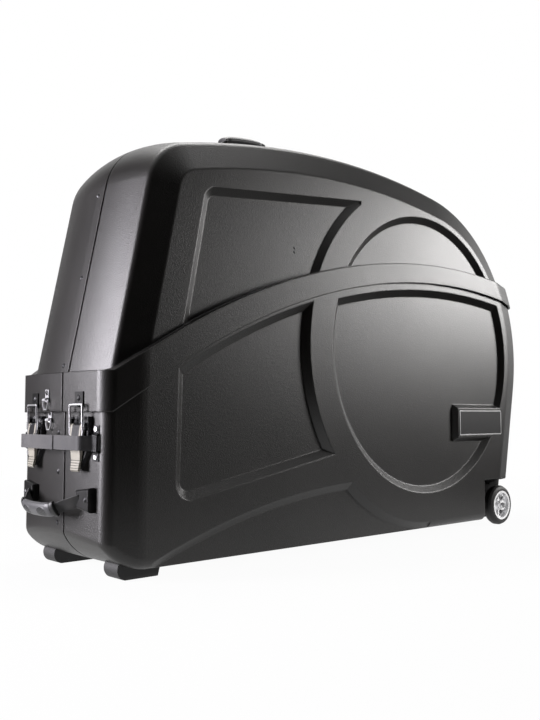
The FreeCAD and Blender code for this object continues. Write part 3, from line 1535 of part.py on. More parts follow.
def base_hardware(anchors, tab):
    """Screws and rivets of the base, and the holes for them."""
    screws = []
    holes = []
    for _, frame in anchors:
        for up in (S.screw_up, -S.screw_up):
            spot = moved(frame, 0, up, S.anchor_gauge)
            screws.append(placed(screw_solid(S.anchor_gauge + S.wall), spot))
            holes.append(placed(drill(S.screw_radius, 2 * S.wall), spot))
    for spot in foot_screw_spots():
        screws.append(placed(screw_solid(S.floor_z), spot))
        holes.append(placed(drill(S.screw_radius, 2 * S.floor_z), spot))
    deck = inside_floor() + S.rail_tall
    for x in rail_bolt_places():
        spot = Placement(xz(S.rail_x + x, deck), Rotation())
        screws.append(placed(screw_solid(deck - S.floor_z, S.rail_bolt_head, S.rail_bolt_rise), spot))
        holes.append(placed(drill(S.screw_radius, deck), spot))
    rivets = [placed(rivet_solid(S.wall + S.lap_wall), f) for f in base_rivet_frames()]
    holes += [placed(drill(S.rivet_radius, 4 * S.wall), f) for f in base_rivet_frames()]
    rivets.append(placed(rivet_solid(S.tab_gauge + S.wall), tab_rivet_spot(tab)))
    holes.append(placed(drill(S.rivet_radius, 2 * S.wall), tab_rivet_spot(tab)))
    rivets += [placed(blind_rivet(), f) for f in cap_rivet_frames(tow_cap_frames())]
    return screws, rivets, holes


def lid_panel_y():
    """Outside of the sunk panel in the lid's near side."""
    return -S.side_half + S.wall + S.lid_panel_depth


def lid_hardware(sites, tab):
    """Rivets of the lid, and the holes for them."""
    rivets = [placed(rivet_solid(S.wall + S.lap_wall), f) for f in lid_rivet_frames()]
    holes = [placed(drill(S.rivet_radius, 4 * S.wall), f) for f in lid_rivet_frames()]
    skirt_wall = S.skirt_flare - S.skirt_gap
    spots = [(keeper_rivet_spot(keeper), S.keeper_gauge) for _, _, keeper, _ in sites]
    for spot, gauge in spots + [(tab_rivet_spot(tab), S.tab_gauge)]:
        rivets.append(placed(rivet_solid(gauge + skirt_wall), spot))
        holes.append(placed(drill(S.rivet_radius, 2 * S.wall), spot))
    rivets += [placed(blind_rivet(), f) for f in cap_rivet_frames(top_cap_frames())]
    for step in (-0.5, 0.5):
        place = xz(S.side_rivet_x, S.side_rivet_z + step * S.side_rivet_gap, lid_panel_y())
        spot = fitting_frame(place, Vector(0, 0, 1), Vector(0, -1, 0))
        rivets.append(placed(side_rivet(), spot))
        holes.append(placed(drill(S.side_rivet_radius, 2 * S.wall), spot))
    return rivets, holes


def make_base(sites, anchors, tab, outer):
    """Both halves of the base with pads under the latches, its rivets and screws."""
    inner = base_form(S.wall)
    screws, rivets, holes = base_hardware(anchors, tab)
    pads = []
    grow = S.pad_margin
    for _, dish, _, _ in sites:
        outline = shield(S.dish_half + grow, S.dish_top + grow, S.dish_hip, S.dish_point + grow)
        face = Part.Face(Part.Wire([g.toShape() for g in outline]))
        pads.append(placed(face.extrude(Vector(0, 0, -S.pad_depth)), dish).cut(inner))
    shell = base_shell(outer, inner).fuse(pads).removeSplitter()
    lap = inner.cut(base_form(S.wall + S.lap_wall))
    near, far = halves(shell, lap, holes)
    keep_shape("base_near_half", near)
    keep_shape("base_far_half", far)
    keep_shape("base_rivets", Part.makeCompound(rivets))
    keep_shape("base_screws", Part.makeCompound(screws))


def make_lid(sites, tab, outer):
    """Both halves of the lid and its rivets."""
    rivets, holes = lid_hardware(sites, tab)
    lap = lid_form(S.wall).cut(lid_form(S.wall + S.lap_wall))
    lap = lap.cut(below(S.shoulder_x, S.shoulder_z, S.shoulder_radius, S.shoulder_level))
    near, far = halves(lid_shell(outer), lap, holes)
    keep_shape("lid_near_half", near)
    keep_shape("lid_far_half", far)
    keep_shape("lid_rivets", Part.makeCompound(rivets))


def make_latches(sites):
    """Dish, lever, bail, keeper and pivot pin of each latch."""
    keepers = []
    pins = []
    edge = S.dish_half - S.dish_rim
    across = Placement(Vector(0, S.pin_up, S.pin_out), Rotation(Y_AXIS, 90))
    for name, dish, keeper, seat in sites:
        make_dish("latch_dish_" + name, dish)
        make_lever("latch_lever_" + name, dish)
        make_bail("latch_bail_" + name, dish, keeper, seat)
        hole = placed(drill(S.rivet_radius, S.wall), keeper_rivet_spot(keeper))
        keepers.append(placed(keeper_solid(seat), keeper).cut(hole))
        pins.append(placed(turned(S.pin_radius, S.pin_radius, 2 * edge, -edge), dish.multiply(across)))
    keep_shape("latch_keepers", Part.makeCompound(keepers))
    keep_shape("latch_pins", Part.makeCompound(pins))


def make_straps(anchors):
    """Strap anchors, and the two tails that lap over each end."""
    for name, frame in anchors:
        make_anchor("strap_anchor_" + name, frame)
    step = S.strap_gauge + S.seat_clear
    out = Vector(-1, 0, 0)
    tow = Placement(xz(S.tow_x, S.strap_z), Rotation(Y_AXIS, out, Y_AXIS.cross(out), "ZYX"))
    radial = Vector(math.cos(strap_turn()), 0, math.sin(strap_turn()))
    wheel = Placement(polar(S.motif_x, S.motif_z, S.wheel_end_radius, strap_turn()),
                      Rotation(Y_AXIS, radial, Y_AXIS.cross(radial), "ZYX"))
    for end, frame in (("tow", tow), ("wheel", wheel)):
        make_tail("strap_%s_near" % end, frame, -1, 0.0)
        make_tail("strap_%s_far" % end, frame, 1, step)


def make_handles(base_outer, lid_outer):
    """Webbing, grip and caps of the tow handle and of the top handle."""
    for name, frame, rise, caps, shell in (
            ("tow_handle", tow_handle_frame(), S.tow_handle_rise, tow_cap_frames(), base_outer),
            ("top_handle", top_frame(), S.top_handle_rise, top_cap_frames(), lid_outer)):
        make_webbing(name + "_webbing", frame, rise)
        make_grip(name + "_grip", frame, rise)
        make_caps(name + "_caps", caps, handle_slot(frame, rise), shell)


def make_rings(lid_tab, base_tab):
    """Padlock rings with their riveted tabs."""
    eye = Placement(Vector(0, 0, S.tab_eye), Rotation())
    for name, frame in (("lid", lid_tab), ("base", base_tab)):
        hole = placed(drill(S.rivet_radius, S.wall), tab_rivet_spot(frame))
        keep_shape(name + "_ring_tab", placed(tab_solid(), frame).cut(hole))
        keep_shape(name + "_ring", ring_solid(), frame.multiply(eye))


def make_running_gear(base_outer):
    """Feet and wheels."""
    make_foot("foot_near", -S.foot_y)
    make_foot("foot_far", S.foot_y)
    for name, side in (("near", -1), ("far", 1)):
        spot = Placement(xz(S.wheel_x, S.wheel_radius, side * S.wheel_y), Rotation())
        make_tyre("tyre_" + name, spot)
        make_hub("hub_" + name, spot)
        make_axle("axle_" + name, side)
        make_housing("wheel_housing_" + name, side, base_outer)


def make_carrier():
    """Rail, fork mount with its skewer, and cradle inside the base."""
    make_rail("carrier_rail")
    make_fork_mount("fork_mount")
    make_skewer("fork_skewer")
    make_skewer_lever("skewer_lever")
    make_cradle("bracket_cradle")
    make_cradle_pad("cradle_pad")


def main():
    sites = latch_sites()
    anchors = strap_anchors()
    base_outer, lid_outer = base_form(0.0), lid_form(0.0)
    lid_tab, base_tab = ring_frames()
    make_base(sites, anchors, base_tab, base_outer)
    make_lid(sites, lid_tab, lid_outer)
    make_latches(sites)
    make_straps(anchors)
    make_handles(base_outer, lid_outer)
    make_rings(lid_tab, base_tab)
    make_running_gear(base_outer)
    make_badge("side_plate")
    keep_shape("lid_backing_plate", backing_plate(lid_panel_y() + S.wall))
    make_carrier()
    write_parts()


def side_rivet():
    """Small rivet of the lid's side panel."""
    r, head, rise = S.side_rivet_radius, S.side_rivet_head, S.rivet_rise / 2
    deep = S.wall + S.backing_gauge
    return turned(head, head / 2, rise).fuse(turned(r, r, deep, -deep)).removeSplitter()


def backing_plate(y):
    half, g = S.backing_half, S.backing_gauge
    plate = Part.makeBox(2 * half, g, 2 * half, xz(S.side_rivet_x - half, S.side_rivet_z - half, y))
    for step in (-0.5, 0.5):
        spot = xz(S.side_rivet_x, S.side_rivet_z + step * S.side_rivet_gap, y)
        plate = plate.cut(Part.makeCylinder(S.side_rivet_radius, 2 * g, spot - Y_AXIS * (g / 2), Y_AXIS))
    return plate


def write_parts():
    """Check every object, then write one file per piece."""
    doc.recompute()
    for obj in doc.Objects:
        if "Invalid" in obj.State or "Error" in obj.State:
            raise RuntimeError("failed feature " + obj.Label)
    for obj in PARTS:
        shape = obj.Shape
        if shape.isNull() or not shape.isValid() or not shape.Solids:
            raise RuntimeError("bad shape " + obj.Label)
    os.makedirs("parts", exist_ok=True)
    for obj in PARTS:
        obj.Shape.exportStep("parts/%s.step" % obj.Label)
    print("pieces", len(PARTS), "solids", sum(len(o.Shape.Solids) for o in PARTS))


main()
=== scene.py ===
"""Dress of a hard-shell travel case for a bicycle: finishes, webbing, grips, light and camera."""
import json
import logging
import math
from dataclasses import dataclass
from enum import Enum
from typing import Any, Iterable, Optional, Union

import bmesh
import bpy
from mathutils import Matrix, Vector


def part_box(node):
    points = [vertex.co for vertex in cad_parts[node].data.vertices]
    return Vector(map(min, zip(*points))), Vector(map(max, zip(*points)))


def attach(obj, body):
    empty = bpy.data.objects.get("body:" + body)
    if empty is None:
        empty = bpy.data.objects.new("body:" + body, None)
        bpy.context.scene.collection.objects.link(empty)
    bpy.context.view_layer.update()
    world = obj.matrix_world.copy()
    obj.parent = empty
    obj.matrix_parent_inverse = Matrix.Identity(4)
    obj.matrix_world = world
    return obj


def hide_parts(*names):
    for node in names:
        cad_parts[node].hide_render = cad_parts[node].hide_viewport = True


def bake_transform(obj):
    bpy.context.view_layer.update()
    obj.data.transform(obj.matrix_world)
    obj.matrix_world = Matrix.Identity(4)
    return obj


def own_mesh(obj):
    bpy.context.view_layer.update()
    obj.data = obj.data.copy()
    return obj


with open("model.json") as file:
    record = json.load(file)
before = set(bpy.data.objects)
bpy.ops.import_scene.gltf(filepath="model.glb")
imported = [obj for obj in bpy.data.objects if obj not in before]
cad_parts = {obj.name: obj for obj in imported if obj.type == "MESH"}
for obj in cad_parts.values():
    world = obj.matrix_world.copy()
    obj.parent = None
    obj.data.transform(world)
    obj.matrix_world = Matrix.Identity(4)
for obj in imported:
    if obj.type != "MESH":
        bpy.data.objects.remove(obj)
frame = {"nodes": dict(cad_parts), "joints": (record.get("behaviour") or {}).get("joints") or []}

LOG = logging.getLogger("travel_case")
Triple = tuple[float, float, float]
X_AXIS: Triple = (1.0, 0.0, 0.0)
Y_AXIS: Triple = (0.0, 1.0, 0.0)
Z_AXIS: Triple = (0.0, 0.0, 1.0)
JOINTS: dict[str, dict] = {joint["name"]: joint for joint in frame["joints"]}


class End(Enum):
    """The two ends of the case."""

    TOW = "tow"
    WHEEL = "wheel"


class Side(Enum):
    """The two long sides of the case; the value is the sign of Y."""

    NEAR = -1
    FAR = 1


@dataclass(frozen=True)
class Station:
    """A place on the case with its own axes: across, up and out."""

    origin: Triple
    across: Triple
    up: Triple
    out: Triple


# Shader maths


class Flow:
    """A shader socket that can be used in Python expressions."""

    def __init__(self, shop: "Shop", socket: bpy.types.NodeSocket) -> None:
        """Keeps the tree's builder and the socket.

        Args:
            shop: builder of the tree that the socket is in.
            socket: output socket.
        """
        self.shop = shop
        self.socket = socket

    def _math(self, operation: str, *values: Any) -> "Flow":
        """One Math node on the given values."""
        return self.shop.node("ShaderNodeMath", {"operation": operation}, dict(enumerate(values)))

    def __add__(self, other: Any) -> "Flow":
        """Sum of two values."""
        return self._math("ADD", self, other)

    __radd__ = __add__

    def __mul__(self, other: Any) -> "Flow":
        """Product of two values."""
        return self._math("MULTIPLY", self, other)

    __rmul__ = __mul__

    def __sub__(self, other: Any) -> "Flow":
        """Difference of two values."""
        return self._math("SUBTRACT", self, other)

    def __rsub__(self, other: Any) -> "Flow":
        """Difference with the value on the right."""
        return self._math("SUBTRACT", other, self)

    def __truediv__(self, other: Any) -> "Flow":
        """Quotient of two values."""
        return self._math("DIVIDE", self, other)

    def __pow__(self, other: Any) -> "Flow":
        """Power of a value."""
        return self._math("POWER", self, other)

    def sine(self) -> "Flow":
        """Sine of the value in radians."""
        return self._math("SINE", self)

    def size(self) -> "Flow":
        """Value without its sign."""
        return self._math("ABSOLUTE", self)

    def most(self, other: Any) -> "Flow":
        """Larger of two values."""
        return self._math("MAXIMUM", self, other)

    def rise(self, low: float, high: float) -> "Flow":
        """Smooth step from 0 at one value to 1 at another.

        Args:
            low: value that gives 0.
            high: value that gives 1; may be the smaller one.

        Returns:
            The step, between 0 and 1.
        """
        settings = {"interpolation_type": "SMOOTHSTEP"}
        if low < high:
            return self.shop.node("ShaderNodeMapRange", settings, {0: self, 1: low, 2: high, 3: 0.0, 4: 1.0})
        return self.shop.node("ShaderNodeMapRange", settings, {0: self, 1: high, 2: low, 3: 1.0, 4: 0.0})


class Shop:
    """Builds the node tree of one material."""

    def __init__(self, name: str) -> None:
        """Starts an empty material.

        Args:
            name: name of the material.
        """
        self.material = bpy.data.materials.new(name)
        self.material.use_nodes = True
        self.tree = self.material.node_tree
        self.tree.nodes.clear()

    def node(self, kind: str, settings: Optional[dict] = None, sockets: Optional[dict] = None,
             output: Union[int, str] = 0) -> Flow:
        """Adds a node.

        Args:
            kind: type of the node.
            settings: attributes that are set before the sockets.
            sockets: values or flows by socket name or number.
            output: socket that is handed back.

        Returns:
            The node's output as a flow.
        """
        made = self.tree.nodes.new(kind)
        for key, value in (settings or {}).items():
            setattr(made, key, value)
        for key, value in (sockets or {}).items():
            self._feed(made.inputs[key], value)
        return Flow(self, made.outputs[output])

    def _feed(self, socket: bpy.types.NodeSocket, value: Any) -> None:
        """Links a flow to a socket, or sets its value.

        Args:
            socket: input socket.
            value: flow, colour, vector or number.
        """
        if isinstance(value, Flow):
            self.tree.links.new(value.socket, socket)
        elif isinstance(value, (tuple, list)) and socket.type == "RGBA":
            socket.default_value = (*value[:3], 1.0)
        else:
            socket.default_value = value

    def place(self) -> Flow:
        """Object coordinates, in metres in the frame of the case."""
        return self.node("ShaderNodeTexCoord", output="Object")

    def along(self, place: Flow, axis: Triple, start: Triple = (0.0, 0.0, 0.0)) -> Flow:
        """Distance of a point along an axis.

        Args:
            place: position.
            axis: direction.
            start: point where the distance is zero.

        Returns:
            Distance in metres.
        """
        dot = self.node("ShaderNodeVectorMath", {"operation": "DOT_PRODUCT"}, {0: place, 1: axis}, "Value")
        return dot - sum(a * b for a, b in zip(axis, start))

    def stretched(self, place: Flow, scale: Triple) -> Flow:
        """Position scaled along each axis."""
        return self.node("ShaderNodeMapping", {"vector_type": "POINT"}, {"Vector": place, "Scale": scale})

    def noise(self, place: Flow, scale: float, detail: float = 2.0, rough: float = 0.5) -> Flow:
        """Noise with features of about one over the scale in metres."""
        sockets = {"Vector": place, "Scale": scale, "Detail": detail, "Roughness": rough}
        return self.node("ShaderNodeTexNoise", {"noise_dimensions": "3D"}, sockets, "Fac")

    def cells(self, place: Flow, scale: float) -> Flow:
        """Distance to the nearest cell point."""
        sockets = {"Vector": place, "Scale": scale}
        return self.node("ShaderNodeTexVoronoi", {"feature": "F1"}, sockets, "Distance")

    def blend(self, share: Any, first: Any, second: Any) -> Flow:
        """Mix of two colours."""
        settings = {"data_type": "RGBA", "blend_type": "MIX"}
        return self.node("ShaderNodeMix", settings, {0: share, 6: first, 7: second}, 2)

    def bump(self, height: Flow, strength: float, reach: float, soft: float = 0.0) -> Flow:
        """Normal of a relief on a surface, whose edges can be rounded too.

        Args:
            height: the relief.
            strength: share of the relief that shows.
            reach: depth in metres of a height of one.
            soft: radius in metres to which the shading rounds the edges.

        Returns:
            The normal.
        """
        sockets = {"Height": height, "Strength": strength, "Distance": reach}
        if soft:
            sockets["Normal"] = self.node("ShaderNodeBevel", {"samples": 6}, {"Radius": soft}, "Normal")
        return self.node("ShaderNodeBump", None, sockets, "Normal")

    def surface(self, **sockets: Any) -> bpy.types.Material:
        """Closes the tree with one principled surface.

        Args:
            sockets: values by socket name, with underscores for spaces.

        Returns:
            The finished material.
        """
        named = {key.replace("_", " "): value for key, value in sockets.items()}
        shader = self.node("ShaderNodeBsdfPrincipled", None, named)
        self.node_output(shader)
        return self.material

    def node_output(self, shader: Flow) -> None:
        """Links a shader to the material's output."""
        end = self.tree.nodes.new("ShaderNodeOutputMaterial")
        self.tree.links.new(shader.socket, end.inputs["Surface"])


# Finishes


@dataclass(frozen=True)
class MouldedSheet:
    """Vacuum-formed ABS sheet with a fine embossed grain, handling marks and floor dust."""

    name: str
    colour: Triple = (0.0052, 0.0044, 0.0038)
    mark: Triple = (0.045, 0.043, 0.042)
    gloss: float = 0.34
    grain: float = 380.0
    relief: float = 0.8
    emboss: float = 0.0002
    soft: float = 0.004
    clouds: float = 5.0
    specks: float = 2600.0
    streaks: Triple = (9.0, 90.0, 240.0)
    grit: float = 210.0
    dust_top: float = 0.12
    dust_foot: float = 0.02

    def make(self) -> bpy.types.Material:
        """Builds the material.

        Returns:
            The finish.
        """
        shop = Shop(self.name)
        place = shop.place()
        cloud = shop.noise(place, self.clouds, 3.0)
        fine = shop.noise(place, self.specks, 1.0)
        cells = shop.cells(place, self.grain)
        streak = shop.noise(shop.stretched(place, self.streaks), 1.0, 4.0, 0.62)
        scuff = streak.rise(0.68, 0.78) * cloud.rise(0.48, 0.66)
        low = shop.along(place, Z_AXIS).rise(self.dust_top, self.dust_foot)
        dust = low * shop.noise(place, self.grit, 4.0).rise(0.42, 0.75)
        tone = shop.blend(cloud.rise(0.3, 0.7), self.colour, tuple(c * 1.25 for c in self.colour))
        tone = shop.blend(scuff * 0.3 + dust * 0.1, tone, self.mark)
        rough = self.gloss + cloud * 0.06 + fine * 0.05 + scuff * 0.12 + dust * 0.08
        normal = shop.bump(cells + fine * 0.5, self.relief, self.emboss, self.soft)
        return shop.surface(Base_Color=tone, Roughness=rough, Normal=normal, Specular_IOR_Level=0.5)


@dataclass(frozen=True)
class GlossMoulding:
    """Injection-moulded plastic with a slight ripple and fine rub marks."""

    name: str
    colour: Triple = (0.012, 0.012, 0.013)
    gloss: float = 0.2
    mark: float = 0.12
    shine: float = 0.5
    ripple: float = 70.0
    rubs: Triple = (60.0, 900.0, 300.0)
    specks: float = 900.0
    depth: float = 0.0004

    def make(self) -> bpy.types.Material:
        """Builds the material.

        Returns:
            The finish.
        """
        shop = Shop(self.name)
        place = shop.place()
        cloud = shop.noise(place, self.ripple, 3.0)
        rub = shop.noise(shop.stretched(place, self.rubs), 1.0, 3.0, 0.6).rise(0.62, 0.8)
        tone = shop.blend(cloud.rise(0.35, 0.7), self.colour, tuple(c * 1.35 + 0.002 for c in self.colour))
        rough = self.gloss + cloud * 0.08 + rub * self.mark
        normal = shop.bump(cloud + shop.noise(place, self.specks, 1.0) * 0.3, 0.12, self.depth)
        return shop.surface(Base_Color=tone, Roughness=rough, Normal=normal, Specular_IOR_Level=self.shine)


@dataclass(frozen=True)
class LeverTwoTone:
    """Cream lever with a black block let into its upper part, and painted shade of grooves across its foot.

    Heights are measured along the lever from its hinge, and widths from its middle line.
    """

    name: str
    hinge: dict
    cream: Triple = (0.27, 0.255, 0.215)
    soiled: Triple = (0.15, 0.14, 0.115)
    shade: Triple = (0.03, 0.028, 0.024)
    black: Triple = (0.012, 0.012, 0.013)
    block_foot: float = -0.042
    block_half: float = 0.01215
    blur: float = 0.0005
    groove_top: float = -0.0575
    groove_start: float = -0.074
    groove_pitch: float = 0.0046
    clouds: float = 240.0
    grime_grain: float = 900.0
    depth: float = 0.0003

    def make(self) -> bpy.types.Material:
        """Builds the material.

        Returns:
            The finish.
        """
        shop = Shop(self.name)
        place = shop.place()
        axis = Vector(self.hinge["axis"])
        rise = axis.cross(Y_AXIS).normalized()
        rise *= math.copysign(1.0, rise.z)
        up = shop.along(place, tuple(rise), self.hinge["pos_m"])
        across = shop.along(place, tuple(axis), self.hinge["pos_m"]).size()
        block = up.rise(self.block_foot - self.blur, self.block_foot + self.blur)
        block = block * across.rise(self.block_half + 0.7 * self.blur, self.block_half - 0.7 * self.blur)
        cloud = shop.noise(place, self.clouds, 3.0)
        grime = shop.noise(place, self.grime_grain, 3.0).rise(0.5, 0.8) * 0.35
        pale = shop.blend(grime + cloud * 0.15, self.cream, self.soiled)
        # painted shade: dark bands across the foot stand for the shade inside grooves that the mesh does not
        # have
        turns = (up - self.groove_start) * (2.0 * math.pi / self.groove_pitch)
        painted_groove_shade = (turns + math.pi / 2).sine().rise(0.55, 0.9)
        painted_groove_shade = painted_groove_shade * up.rise(self.groove_top, self.groove_top - 3.0 * self.blur)
        pale = shop.blend(painted_groove_shade * 0.85, pale, self.shade)
        tone = shop.blend(block, pale, self.black)
        rough = 0.36 + cloud * 0.12 - block * 0.1
        normal = shop.bump(cloud, 0.15, self.depth)
        return shop.surface(Base_Color=tone, Roughness=rough, Normal=normal)


@dataclass(frozen=True)
class BrightMetal:
    """Plated or bare metal with drawn lines, dull patches and fine pits."""

    name: str
    colour: Triple = (0.72, 0.72, 0.73)
    gloss: float = 0.16
    drawn: Triple = (120.0, 120.0, 1400.0)
    pits: float = 0.12
    patches: float = 160.0
    pit_grain: float = 1800.0
    depth: float = 0.0001

    def make(self) -> bpy.types.Material:
        """Builds the material.

        Returns:
            The finish.
        """
        shop = Shop(self.name)
        place = shop.place()
        cloud = shop.noise(place, self.patches, 3.0)
        lines = shop.noise(shop.stretched(place, self.drawn), 1.0, 2.0)
        pits = shop.noise(place, self.pit_grain, 2.0).rise(0.6, 0.75)
        tone = shop.blend(cloud.rise(0.4, 0.8) * 0.6, self.colour, tuple(c * 0.7 for c in self.colour))
        rough = self.gloss + cloud * 0.1 + lines * 0.08 + pits * 0.1
        normal = shop.bump(lines + pits * -0.6, self.pits, self.depth)
        return shop.surface(Base_Color=tone, Roughness=rough, Metallic=1.0, Normal=normal)


@dataclass(frozen=True)
class WovenBand:
    """Flat woven webbing: herringbone rows along the band, with fuzz and soiled patches."""

    name: str
    along: Triple
    across: Triple
    colour: Triple = (0.03, 0.029, 0.031)
    soiled: Triple = (0.085, 0.08, 0.075)
    pitch: float = 0.0016
    fuzz_grain: float = 1500.0
    soil_grain: float = 45.0
    depth: float = 0.0004

    def make(self) -> bpy.types.Material:
        """Builds the material.

        Returns:
            The finish.
        """
        shop = Shop(self.name)
        place = shop.place()
        step = 2.0 * math.pi / self.pitch
        run = shop.along(place, self.along) * step
        rows = shop.along(place, self.across) * step
        warp = (rows * 0.5).sine().size()
        weft = (run + (rows * 0.5).sine() * 1.6).sine() * 0.5 + 0.5
        fuzz = shop.noise(place, self.fuzz_grain, 3.0)
        soil = shop.noise(place, self.soil_grain, 4.0).rise(0.4, 0.75)
        weave = warp * 0.6 + weft * 0.4
        tone = shop.blend(weave * 0.75 + fuzz * 0.25, tuple(c * 0.55 for c in self.colour),
                          tuple(c * 1.6 for c in self.colour))
        tone = shop.blend(soil * 0.25, tone, self.soiled)
        normal = shop.bump(weave + fuzz * 0.4, 0.55, self.depth)
        return shop.surface(Base_Color=tone, Roughness=0.72 + fuzz * 0.15, Normal=normal, Sheen_Weight=0.25)


@dataclass(frozen=True)
class SoftRubber:
    """Moulded rubber with a dull skin, fine pimples and dust in the hollows."""

    name: str
    colour: Triple = (0.016, 0.016, 0.016)
    gloss: float = 0.5
    dust: float = 0.3
    soiled: Triple = (0.09, 0.085, 0.08)
    clouds: float = 40.0
    pimples: float = 1400.0
    depth: float = 0.0003

    def make(self) -> bpy.types.Material:
        """Builds the material.

        Returns:
            The finish.
        """
        shop = Shop(self.name)
        place = shop.place()
        cloud = shop.noise(place, self.clouds, 4.0)
        fine = shop.noise(place, self.pimples, 2.0)
        haze = cloud.rise(0.45, 0.75) * fine.rise(0.4, 0.7) * self.dust
        tone = shop.blend(haze, self.colour, self.soiled)
        rough = self.gloss + cloud * 0.12 + haze * 0.2
        normal = shop.bump(fine + cloud * 0.5, 0.3, self.depth)
        return shop.surface(Base_Color=tone, Roughness=rough, Normal=normal)


@dataclass(frozen=True)
class GripRubber:
    """Satin rubber of a grip with two ribbed oval thumb rests on its outer face, with painted shade in the
    rests and between their ribs.
    """

    name: str
    station: Station
    rise: float
    colour: Triple = (0.05, 0.05, 0.052)
    painted_rest_shade: Triple = (0.008, 0.008, 0.008)
    rest: float = 0.028
    oval: tuple[float, float] = (0.0145, 0.0095)
    face: tuple[float, float] = (-0.003, 0.001)
    rib_pitch: float = 0.0046
    specks: float = 1600.0
    clouds: float = 60.0
    depth: float = 0.0012

    def make(self) -> bpy.types.Material:
        """Builds the material.

        Returns:
            The finish.
        """
        shop = Shop(self.name)
        place = shop.place()
        along = shop.along(place, self.station.across, self.station.origin)
        up = shop.along(place, self.station.up, self.station.origin)
        out = shop.along(place, self.station.out, self.station.origin)
        face = out.rise(self.rise + self.face[0], self.rise + self.face[1])
        gap = along.size() - self.rest
        oval = (gap / self.oval[0]) ** 2.0 + (up / self.oval[1]) ** 2.0
        inside = oval.rise(1.0, 0.9) * face
        rim = oval.rise(0.75, 0.95) * oval.rise(1.25, 1.0) * face
        ribs = (gap * (2.0 * math.pi / self.rib_pitch)).sine() * inside
        fine = shop.noise(place, self.specks, 2.0)
        cloud = shop.noise(place, self.clouds, 3.0)
        skin = shop.blend(cloud, self.colour, tuple(c * 1.3 for c in self.colour))
        # painted shade: the sunk rests are darkened, and only the rib crests keep the skin colour
        tone = shop.blend(inside * 0.75, skin, self.painted_rest_shade)
        tone = shop.blend(ribs.rise(0.2, 0.9) * 0.8, tone, self.colour)
        rough = 0.34 + fine * 0.1 + cloud * 0.08
        normal = shop.bump(ribs - inside * 0.6 + rim * 0.5 + fine * 0.06, 0.8, self.depth)
        return shop.surface(Base_Color=tone, Roughness=rough, Normal=normal)


@dataclass(frozen=True)
class BlankPlate:
    """Dark inset plate with a thin bright rim."""

    name: str
    centre: Triple
    half: tuple[float, float]
    rim: float = 0.0032
    dark: Triple = (0.010, 0.010, 0.011)
    worn: Triple = (0.018, 0.018, 0.019)
    bright: Triple = (0.9, 0.9, 0.9)
    clouds: float = 60.0
    brushed: Triple = (40.0, 40.0, 1600.0)
    depth: float = 0.0002

    def make(self) -> bpy.types.Material:
        """Builds the material.

        Returns:
            The finish.
        """
        shop = Shop(self.name)
        place = shop.place()
        across = shop.along(place, X_AXIS, self.centre).size()
        up = shop.along(place, Z_AXIS, self.centre).size()
        edge = across.rise(self.half[0] - self.rim, self.half[0] - 0.7 * self.rim)
        edge = edge.most(up.rise(self.half[1] - self.rim, self.half[1] - 0.7 * self.rim))
        cloud = shop.noise(place, self.clouds, 3.0)
        brush = shop.noise(shop.stretched(place, self.brushed), 1.0, 2.0)
        tone = shop.blend(edge, shop.blend(cloud, self.dark, self.worn), self.bright)
        rough = 0.3 + brush * 0.12 - edge * 0.05
        normal = shop.bump(brush + edge * 3.0, 0.15, self.depth)
        return shop.surface(Base_Color=tone, Roughness=rough, Metallic=edge, Normal=normal)


# Mesh helpers


MERGE = 1e-6


def finished(mesh: bmesh.types.BMesh, name: str, material: bpy.types.Material,
             smooth: bool = True) -> bpy.types.Object:
    """Turns a bmesh into an object at the origin.

    Args:
        mesh: the shape, in the frame of the case; freed here.
        name: name of the piece.
        material: its finish.
        smooth: shade the faces smoothly.

    Returns:
        The new object.
    """
    bmesh.ops.remove_doubles(mesh, verts=mesh.verts, dist=MERGE)
    bmesh.ops.recalc_face_normals(mesh, faces=mesh.faces)
    data = bpy.data.meshes.new(name)
    for face in mesh.faces:
        face.smooth = smooth
    mesh.to_mesh(data)
    mesh.free()
    data.materials.append(material)
    piece = bpy.data.objects.new(name, data)
    bpy.context.scene.collection.objects.link(piece)
    return piece


def rounded(piece: bpy.types.Object, width: float, segments: int = 2,
            angle: float = 35.0) -> bpy.types.Object:
    """Adds a bevel on the sharp edges of a piece.

    Args:
        piece: object to finish.
        width: width of the bevel in metres.
        segments: faces across the bevel.
        angle: least angle in degrees of an edge that is rounded.

    Returns:
        The same object.
    """
    bevel = piece.modifiers.new("edge_round", "BEVEL")
    bevel.width = width
    bevel.segments = segments
    bevel.limit_method = "ANGLE"
    bevel.angle_limit = math.radians(angle)
    bevel.harden_normals = False
    return piece


def curve_through(points: list[Vector], steps: int) -> list[Vector]:
    """Points on a smooth line through given points.

    Args:
        points: the points that the line passes.
        steps: stations between two neighbours.

    Returns:
        The stations, first and last point included.
    """
    ends = [2 * points[0] - points[1]] + points + [2 * points[-1] - points[-2]]
    line = []
    for a, b, c, d in zip(ends, ends[1:], ends[2:], ends[3:]):
        for k in range(steps):
            t = k / steps
            line.append(0.5 * (2 * b + (c - a) * t + (2 * a - 5 * b + 4 * c - d) * t ** 2
                               + (3 * b - a - 3 * c + d) * t ** 3))
    return line + [points[-1]]


def band_mesh(stations: list[Vector], across: Vector, width: float, gauge: float,
              lanes: int = 6) -> bmesh.types.BMesh:
    """A flat band swept along a line.

    Args:
        stations: centre line.
        across: direction of the band's width.
        width: width in metres.
        gauge: thickness in metres.
        lanes: faces across the width.

    Returns:
        The closed band.
    """
    mesh = bmesh.new()
    start = [mesh.verts.new(stations[0] + across * (width * (k / lanes - 0.5))) for k in range(lanes + 1)]
    edges = [mesh.edges.new(pair) for pair in zip(start, start[1:])]
    for here, there in zip(stations, stations[1:]):
        grown = bmesh.ops.extrude_edge_only(mesh, edges=edges)["geom"]
        fresh = [g for g in grown if isinstance(g, bmesh.types.BMVert)]
        bmesh.ops.translate(mesh, verts=fresh, vec=there - here)
        edges = [g for g in grown if isinstance(g, bmesh.types.BMEdge)]
    bmesh.ops.recalc_face_normals(mesh, faces=mesh.faces)
    bmesh.ops.solidify(mesh, geom=mesh.faces[:], thickness=gauge)
    return mesh


